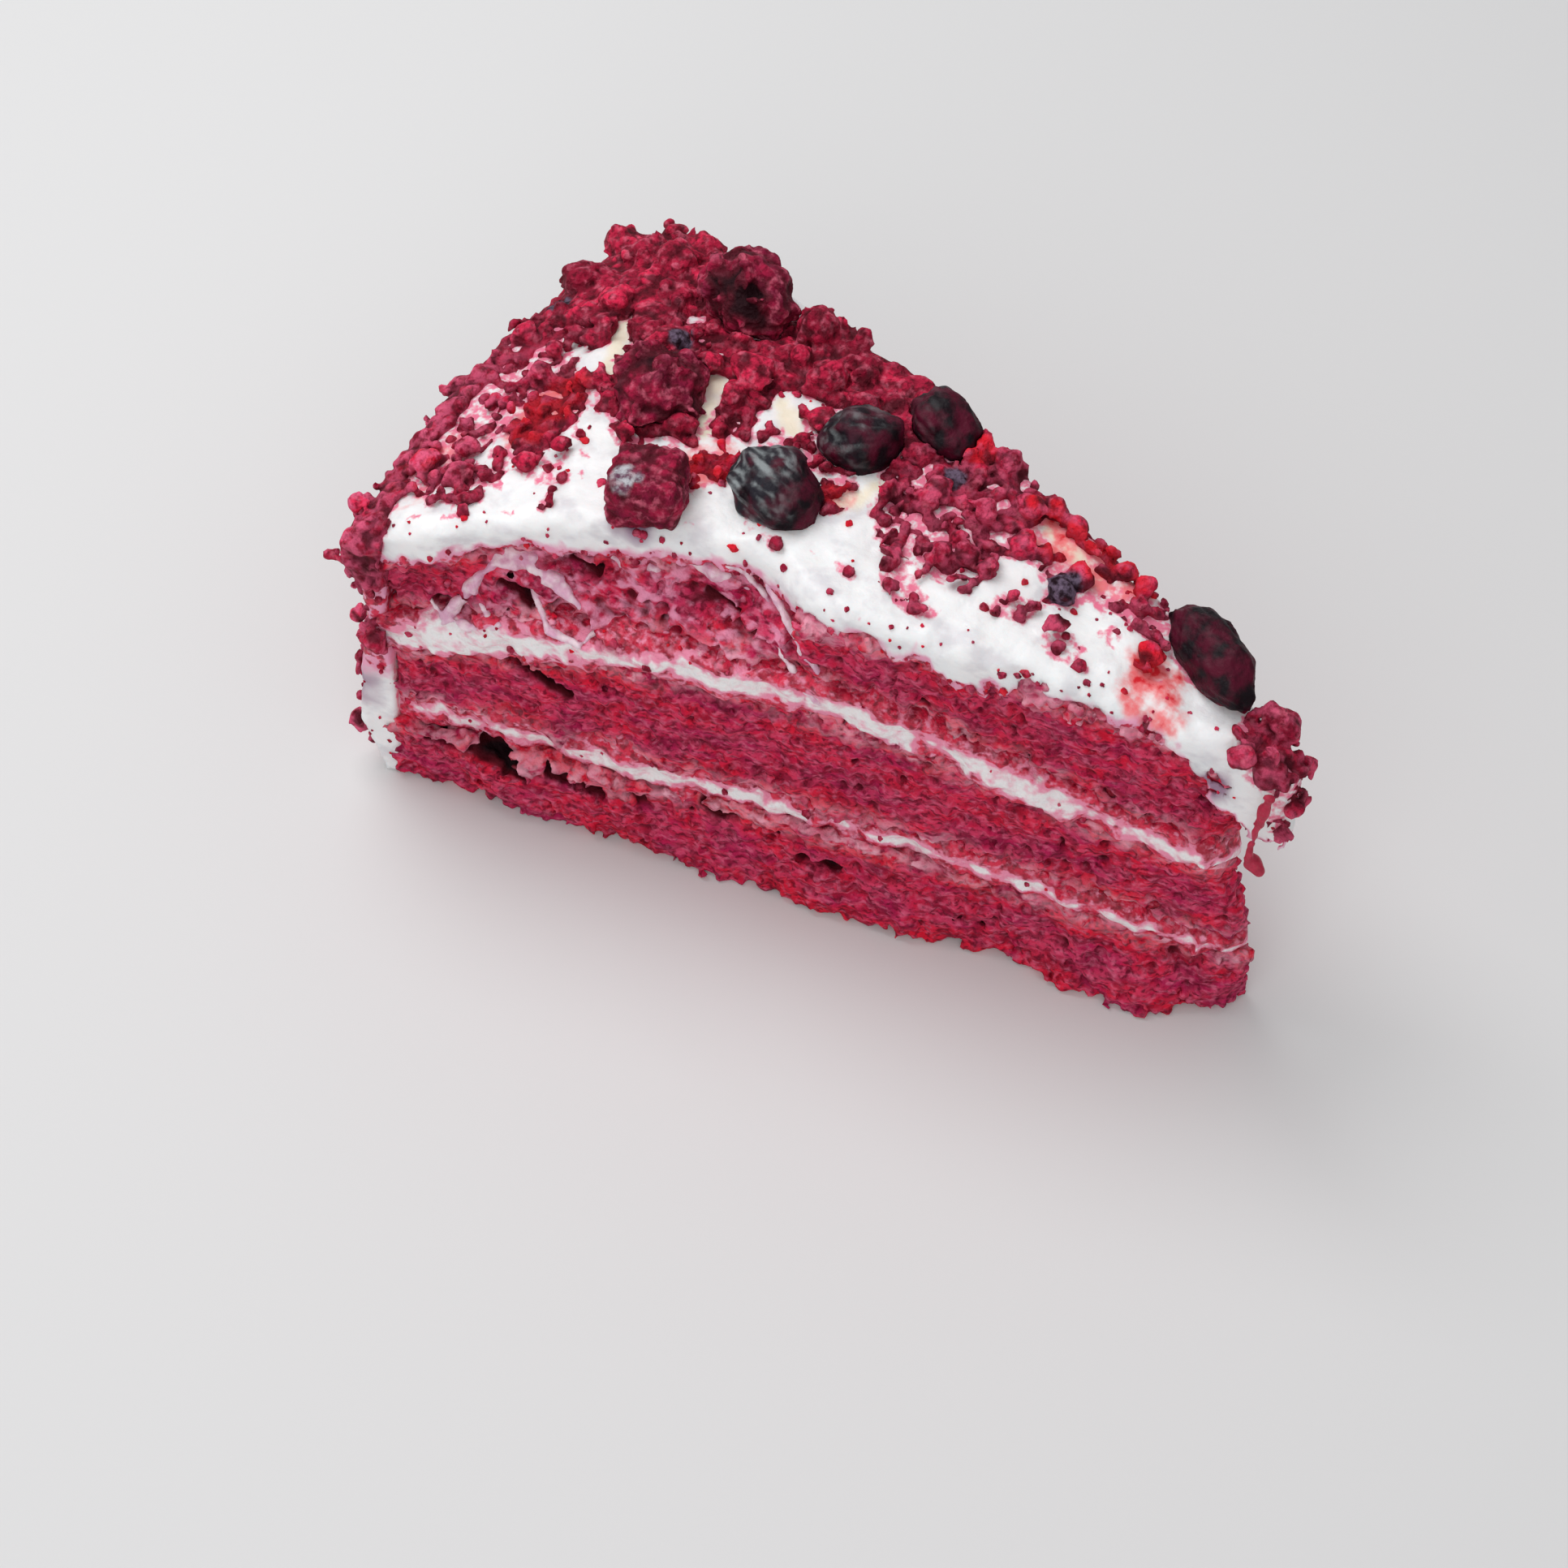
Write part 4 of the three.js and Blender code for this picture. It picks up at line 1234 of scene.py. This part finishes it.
def speck_shapes(random):
    """A few tiny jagged crumbs of about unit radius: the points of each, and their triangles."""
    mesh = bmesh.new()
    bmesh.ops.create_icosphere(mesh, subdivisions=2, radius=1)
    points = np.array([vertex.co for vertex in mesh.verts])
    triangles = np.array([[vertex.index for vertex in face.verts] for face in mesh.faces])
    mesh.free()
    shapes = []
    for _ in range(8):
        stretch = random.uniform(0.6, 1.4, 3)
        bumps = 1 + 0.5 * noise.soft(points + random.uniform(0, 50, 3), 0.8)
        shapes.append(points * stretch * bumps[:, None])
    return shapes, triangles


def drawn(random, points, weights, count):
    """Some of the points, drawn at random by weight, each at most once."""
    return points[random.choice(len(points), count, replace=False, p=weights / weights.sum())]


def add_specks(material, places):
    """One piece of all the tiny crumbs, one at each place."""
    random = np.random.default_rng(11)
    shapes, triangles = speck_shapes(random)
    count = len(shapes[0])
    sizes = 0.2 + 0.5 * random.random(len(places)) ** 2.5
    points = [place + size * shapes[i % len(shapes)] for i, (place, size) in enumerate(zip(places, sizes))]
    faces = [triangles + i * count for i in range(len(places))]
    surface = (np.concatenate(points), [np.concatenate(faces)])
    attributes = {
        "tone": np.repeat(random.random(len(places)), count),
        "relief": 0.2,
        "moist": np.repeat(random.random(len(places)) ** 3, count),
        "pink": 0.3,
        "dark": 0,
        "height": CLEAR_HEIGHT,
    }
    add_piece("specks", surface, material, attributes, "frosting")


# ---------------------------------------------------------------- materials


def colour(red, green, blue):
    """A shader colour from the three parts that a picture would show, from 0 to 255."""
    parts = np.array([red, green, blue]) / 255
    linear = np.where(parts <= 0.04045, parts / 12.92, ((parts + 0.055) / 1.055) ** 2.4)
    return (*linear, 1.0)


class Shader:
    """A material's node tree, built up one node at a time."""

    def __init__(self, name, roughness, specular, subsurface=0.0, radius=(0, 0, 0)):
        self.material = bpy.data.materials.new(name)
        self.material.use_nodes = True
        self.tree = self.material.node_tree
        self.surface = self.tree.nodes["Principled BSDF"]
        self.surface.inputs["Roughness"].default_value = roughness
        self.surface.inputs["Specular IOR Level"].default_value = specular
        if subsurface:
            self.surface.inputs["Subsurface Weight"].default_value = subsurface
            self.surface.inputs["Subsurface Radius"].default_value = radius
            self.surface.inputs["Subsurface Scale"].default_value = METRES
        self.place = self.tree.nodes.new("ShaderNodeTexCoord").outputs["Object"]

    def put(self, socket, value):
        """Links another node's output to a socket, or sets the socket to a value."""
        if isinstance(value, bpy.types.NodeSocket):
            self.tree.links.new(value, socket)
        else:
            socket.default_value = value

    def node(self, kind, **inputs):
        """A new node, with its inputs by name, where underscores stand for spaces."""
        made = self.tree.nodes.new(kind)
        for key, value in inputs.items():
            self.put(made.inputs[key.replace("_", " ")], value)
        return made

    def attribute(self, name):
        made = self.node("ShaderNodeAttribute")
        made.attribute_name = name
        return made.outputs["Fac"]

    def noise(self, size, detail=2.0, offset=0.0, squash=1.0):
        """Soft noise from 0 to 1, with bumps about `size` millimetres across, flatter by squash."""
        location, scale = (offset, offset, offset), (1, 1, squash)
        moved = self.node("ShaderNodeMapping", Vector=self.place, Location=location, Scale=scale)
        place, per_metre = moved.outputs["Vector"], 1 / (size * METRES)
        made = self.node("ShaderNodeTexNoise", Vector=place, Detail=detail, Scale=per_metre)
        return made.outputs["Fac"]

    def grains(self, size):
        """The distance from the middle of grains about `size` millimetres across."""
        made = self.node("ShaderNodeTexVoronoi", Vector=self.place, Scale=1 / (size * METRES))
        return made.outputs["Distance"]

    def sharpen(self, value, low, high):
        """A value turned to 0 at low and 1 at high."""
        made = self.node("ShaderNodeMapRange", Value=value, From_Min=low, From_Max=high)
        made.interpolation_type = "SMOOTHSTEP"
        return made.outputs["Result"]

    def patches(self, low, high, *noise_values):
        """Noise, with the values that noise() takes, turned to 0 at low and 1 at high."""
        return self.sharpen(self.noise(*noise_values), low, high)

    def math(self, operation, first, second):
        made = self.node("ShaderNodeMath")
        made.operation = operation
        self.put(made.inputs[0], first)
        self.put(made.inputs[1], second)
        return made.outputs["Value"]

    def times(self, first, second):
        return self.math("MULTIPLY", first, second)

    def mix(self, share, first, second):
        """A colour between two, which are colours or other nodes' outputs."""
        made = self.node("ShaderNodeMix")
        made.data_type = "RGBA"
        self.put(made.inputs["Factor"], share)
        self.put(made.inputs[6], first)
        self.put(made.inputs[7], second)
        return made.outputs[2]

    def finish(self, base_colour, bumps=()):
        """Links the colour and bumps of (height, millimetres), and gives the material."""
        self.tree.links.new(base_colour, self.surface.inputs["Base Color"])
        normal = None
        for height, distance in bumps:
            bump = self.node("ShaderNodeBump", Strength=1.0, Distance=distance * METRES, Height=height)
            if normal is not None:
                self.tree.links.new(normal, bump.inputs["Normal"])
            normal = bump.outputs["Normal"]
        if normal is not None:
            self.tree.links.new(normal, self.surface.inputs["Normal"])
        return self.material


def grainy(shader, base, dark, highlight_colour, squash=1.0):
    """A crumb's colour: darkened by painted shade between its grains, and with a painted highlight where its
    grains catch the light.
    """
    gap_shade = shader.patches(0.54, 0.34, 0.9, 5, 3, squash)
    clusters = shader.patches(0.58, 0.34, 2.6, 4, 21, squash)
    light = shader.patches(0.47, 0.74, 1.2, 5, 13, squash)
    base = shader.mix(shader.times(clusters, 0.6), base, dark)
    # Painted shade, darkening the crumb between its grains.
    base = shader.mix(shader.times(gap_shade, 0.8), base, dark)
    # Painted highlight where the grains catch the light.
    return shader.mix(shader.times(light, 0.6), base, highlight_colour)


def sponge_material():
    shader = Shader("sponge", roughness=0.8, specular=0.2)
    blotches = shader.patches(0.38, 0.62, 8, 3, 0, 2.4)
    patches = shader.patches(0.4, 0.64, 3.6, 4, 7, 2.4)
    base = shader.mix(blotches, colour(184, 28, 84), colour(216, 26, 64))
    base = shader.mix(patches, base, colour(212, 62, 102))
    reddened = shader.times(shader.attribute("near_cream"), blotches)
    base = shader.mix(reddened, base, colour(232, 24, 56))
    base = grainy(shader, base, colour(92, 0, 30), colour(234, 114, 148), squash=1.9)
    # Painted highlight where the crumb stands out furthest.
    lit_peaks = shader.sharpen(shader.attribute("relief"), 0.3, 1.2)
    base = shader.mix(shader.times(lit_peaks, 0.3), base, colour(236, 116, 150))
    torn = shader.times(shader.attribute("torn"), shader.patches(0.46, 0.64, 2.4, 4, 9, 1.8))
    base = shader.mix(shader.times(torn, 0.8), base, colour(244, 160, 192))
    smear = shader.patches(0.36, 0.58, 1.8, 5, 5, 1.8)
    base = shader.mix(shader.times(shader.attribute("cream"), smear), base, colour(250, 182, 200))
    # Painted shade, darkest deep down in the pores and hollows.
    base = shader.mix(shader.sharpen(shader.attribute("relief"), -0.5, -1.4), base, colour(84, 2, 20))
    base = shader.mix(shader.sharpen(shader.attribute("relief"), -1.4, -2.6), base, colour(22, 0, 6))
    return shader.finish(base, [(shader.noise(0.8, 4, 1), 0.4)])


def cream_shader(name, subsurface):
    return Shader(name, roughness=0.45, specular=0.4, subsurface=subsurface, radius=(3, 2.2, 2))


def filling_material():
    shader = cream_shader("filling", 0.25)
    stain = shader.attribute("stain")
    pink = shader.math("ADD", stain, shader.times(shader.noise(1.6, 4, 2, 1.5), 1.4))
    base = shader.mix(shader.sharpen(pink, 0.6, 1.2), colour(250, 245, 245), colour(246, 148, 178))
    crumbly = grainy(shader, colour(226, 38, 76), colour(118, 6, 36), colour(242, 150, 176))
    covered = shader.math("ADD", stain, shader.times(shader.noise(1.1, 6, 8, 1.5), 1.8))
    base = shader.mix(shader.sharpen(covered, 1.5, 1.9), base, crumbly)
    return shader.finish(base, [(shader.noise(0.9, 5, 4), 0.5)])


def strand_material():
    shader = cream_shader("strand", 0.2)
    patches = shader.patches(0.35, 0.65, 1.8, 3, 2)
    base = shader.mix(patches, colour(226, 168, 196), colour(248, 222, 230))
    redder = shader.mix(shader.noise(0.9, 3, 6), colour(130, 6, 34), colour(206, 40, 80))
    base = shader.mix(shader.attribute("red"), base, redder)
    return shader.finish(base, [(shader.noise(0.8, 3, 4), 0.25)])


def frosting_material():
    shader = cream_shader("frosting", 0.3)
    mottle = shader.noise(0.9, 5, 2)
    white = shader.mix(shader.noise(9, 2), colour(250, 249, 248), colour(240, 240, 242))
    shade = shader.times(shader.patches(0.48, 0.7, 4.5, 5, 31, 1.6), 0.6)
    white = shader.mix(shade, white, colour(208, 204, 210))
    base = shader.mix(shader.times(shader.attribute("yellow"), 0.8), white, colour(242, 228, 200))
    base = shader.mix(shader.times(shader.attribute("purple"), 0.85), base, colour(136, 84, 124))
    stain = shader.times(shader.attribute("stain"), mottle)
    base = shader.mix(shader.sharpen(stain, 0.28, 0.56), base, colour(240, 120, 152))
    moist = shader.times(shader.attribute("moist"), shader.noise(1.3, 5, 6))
    base = shader.mix(shader.sharpen(moist, 0.1, 0.42), base, colour(248, 124, 128))
    base = shader.mix(shader.sharpen(moist, 0.4, 0.56), base, colour(226, 34, 48))
    tinted = shader.times(shader.attribute("edge"), shader.noise(2.6, 4, 12))
    base = shader.mix(shader.sharpen(tinted, 0.1, 0.42), base, colour(236, 158, 188))
    smeared = shader.times(shader.attribute("edge"), shader.noise(1.3, 4, 8))
    crumbly = grainy(shader, colour(220, 36, 76), colour(118, 6, 36), colour(242, 150, 176))
    base = shader.mix(shader.sharpen(smeared, 0.4, 0.5), base, crumbly)
    return shader.finish(base, [(shader.noise(1.6, 3, 4), 0.22)])


def crumb_material(name, dark, bright, fruit):
    """Crumbs from dark to bright, with bits of fruit among them between two colours, painted highlights on
    the tops of their grains, and painted shade in their hollows and low down near the frosting.
    """
    shader = Shader(name, roughness=0.75, specular=0.2)
    base = shader.mix(shader.attribute("tone"), dark, bright)
    base = grainy(shader, base, colour(92, 2, 26), colour(236, 116, 142))
    dusted = shader.times(shader.attribute("pink"), shader.patches(0.4, 0.6, 1.5, 5, 17))
    base = shader.mix(dusted, base, colour(236, 96, 134))
    moist = shader.times(shader.attribute("moist"), shader.noise(1.6, 4, 5))
    moist = shader.times(shader.sharpen(moist, 0.12, 0.38), 0.8)
    base = shader.mix(moist, base, colour(236, 20, 36))
    # Painted highlight on the tops of the grains.
    lit_peaks = shader.sharpen(shader.attribute("relief"), 0.2, 0.8)
    base = shader.mix(shader.times(lit_peaks, 0.35), base, colour(240, 112, 146))
    # Painted shade, darker the deeper the hollow between the grains.
    pit_shade = shader.sharpen(shader.attribute("relief"), 0.05, -0.35)
    base = shader.mix(shader.times(pit_shade, 0.8), base, colour(66, 0, 16))
    base = shader.mix(shader.sharpen(shader.attribute("relief"), -0.35, -0.9), base, colour(34, 0, 10))
    # Painted shade low down near the frosting, between the crumbs.
    valley_shade = shader.sharpen(shader.attribute("height"), 1.9, 0.1)
    base = shader.mix(shader.times(valley_shade, 0.5), base, colour(72, 0, 18))
    skin = shader.mix(shader.patches(0.36, 0.62, 1.1, 5, 9), *fruit)
    base = shader.mix(shader.attribute("dark"), base, skin)
    return shader.finish(base, [(shader.noise(0.6, 5, 1), 0.5), (shader.grains(0.6), 0.2)])


def berry_material():
    shader = Shader("berry", roughness=0.55, specular=0.15)
    skin = shader.mix(shader.patches(0.36, 0.66, 2.4, 5, 2), colour(16, 4, 12), colour(84, 8, 36))
    fibres = shader.sharpen(shader.math("ADD", shader.attribute("fibres"), shader.noise(0.9, 4, 8)), 0.2, 1.1)
    grey = shader.mix(fibres, colour(36, 34, 42), colour(140, 146, 148))
    # The grey on the side towards the light: the berry's own bloom, with a painted sheen.
    patches = shader.patches(0.3, 0.56, 2.6, 4, 6)
    bloom_and_sheen = shader.times(patches, shader.attribute("bloom_and_sheen"))
    skin = shader.mix(bloom_and_sheen, skin, grey)
    foot = shader.times(shader.attribute("foot"), shader.noise(1.4, 3, 11))
    skin = shader.mix(shader.sharpen(foot, 0.3, 0.5), skin, colour(110, 12, 42))
    return shader.finish(skin, [(shader.noise(0.8, 4, 1), 0.3)])


# ---------------------------------------------------------------- stage

CAMERA_AZIMUTH = 33.26  # degrees, as the photograph looks at the slice
CAMERA_ELEVATION = 52.83
CAMERA_ROLL = 1.844
CAMERA_DISTANCE = 489.0  # from the point it aims at
CAMERA_AIM = [-7.28, -5.13, 0.0]
CAMERA_LENS = 83.85
CAMERA_SENSOR = 36.0

# The lights: azimuth and elevation they shine from, distance, width and power in watts.
LIGHTS = {
    "key": {"azimuth": 262, "elevation": 62, "distance": 620, "width": 420, "power": 2.0},
    "fill": {"azimuth": 20, "elevation": 40, "distance": 800, "width": 700, "power": 1.7},
}
AMBIENT = 0.44
FLOOR_WIDTH = 6000


def seen_from(azimuth, elevation, distance, aim=(0, 0, 0)):
    """The matrix of a thing that aims at a point, from azimuth 0 at -Y, or 90 at +X."""
    a, e = math.radians(azimuth), math.radians(elevation)
    back = Vector((math.sin(a) * math.cos(e), -math.cos(a) * math.cos(e), math.sin(e)))
    turn = back.to_track_quat("Z", "Y").to_matrix().to_4x4()
    return Matrix.Translation((Vector(aim) + back * distance) * METRES) @ turn


def add_camera():
    data = bpy.data.cameras.new("camera")
    data.lens = CAMERA_LENS
    data.sensor_width = CAMERA_SENSOR
    camera = add_object("camera", data)
    roll = Matrix.Rotation(math.radians(CAMERA_ROLL), 4, "Z")
    camera.matrix_world = seen_from(CAMERA_AZIMUTH, CAMERA_ELEVATION, CAMERA_DISTANCE, CAMERA_AIM) @ roll
    bpy.context.scene.camera = camera


def add_lights():
    for name, values in LIGHTS.items():
        data = bpy.data.lights.new(name, "AREA")
        data.shape = "DISK"
        data.size = values["width"] * METRES
        data.energy = values["power"]
        light = add_object(name, data)
        light.matrix_world = seen_from(values["azimuth"], values["elevation"], values["distance"])
    world = bpy.data.worlds.new("studio")
    world.use_nodes = True
    world.node_tree.nodes["Background"].inputs["Color"].default_value = colour(250, 250, 252)
    world.node_tree.nodes["Background"].inputs["Strength"].default_value = AMBIENT
    bpy.context.scene.world = world
    bpy.context.scene.view_settings.view_transform = "Standard"


def add_floor():
    half = FLOOR_WIDTH / 2 * METRES
    corners = [(-half, -half, 0), (half, -half, 0), (half, half, 0), (-half, half, 0)]
    mesh = bpy.data.meshes.new("floor")
    mesh.from_pydata(corners, [], [(0, 1, 2, 3)])
    shader = Shader("floor", roughness=0.8, specular=0.2)
    grey = shader.mix(shader.noise(900), colour(222, 222, 222), colour(226, 226, 226))
    mesh.materials.append(shader.finish(grey))
    add_object("floor", mesh)


# ---------------------------------------------------------------- the cake


def build_cake():
    sponge, filling, frosting = sponge_material(), filling_material(), frosting_material()
    dark_fruit = (colour(30, 4, 20), colour(112, 94, 116))
    pale_fruit = (colour(104, 60, 84), colour(196, 196, 202))
    crumb = crumb_material("crumb", colour(150, 12, 50), colour(236, 40, 84), dark_fruit)
    chunk = crumb_material("chunk", colour(112, 8, 48), colour(178, 22, 66), pale_fruit)
    berry = berry_material()
    sponges = {name: add_sponge(name, sponge) for name in BOUNDARIES if name.startswith("sponge")}
    fillings = {name: add_filling(name, filling) for name in BOUNDARIES if name.startswith("filling")}
    toppings = {name: topping_field(name) for name in TOPPINGS}
    crumb_fields = add_crumbs(crumb, [rough for rough, _ in toppings.values()])
    frosting_shape, frosting_points, speck_weights = add_frosting(
        frosting, sponges["sponge_top"], crumb_fields
    )
    shapes = [sponges["sponge_top"], fillings["filling_upper"][0], frosting_shape]
    add_strands(strand_material(), shapes)
    random = np.random.default_rng(3)
    places = [drawn(random, frosting_points, speck_weights, SPECKS_ON_FROSTING)]
    for _, points in fillings.values():
        shown = (np.abs(behind_face(points, FRONT)) < 4).astype(float)
        places.append(drawn(random, points, shown, SPECKS_ON_FILLING))
    add_specks(crumb, np.concatenate(places))
    for name, (rough, smooth) in toppings.items():
        add_topping(name, rough, smooth, berry, chunk)


add_camera()
add_lights()
add_floor()
build_cake()
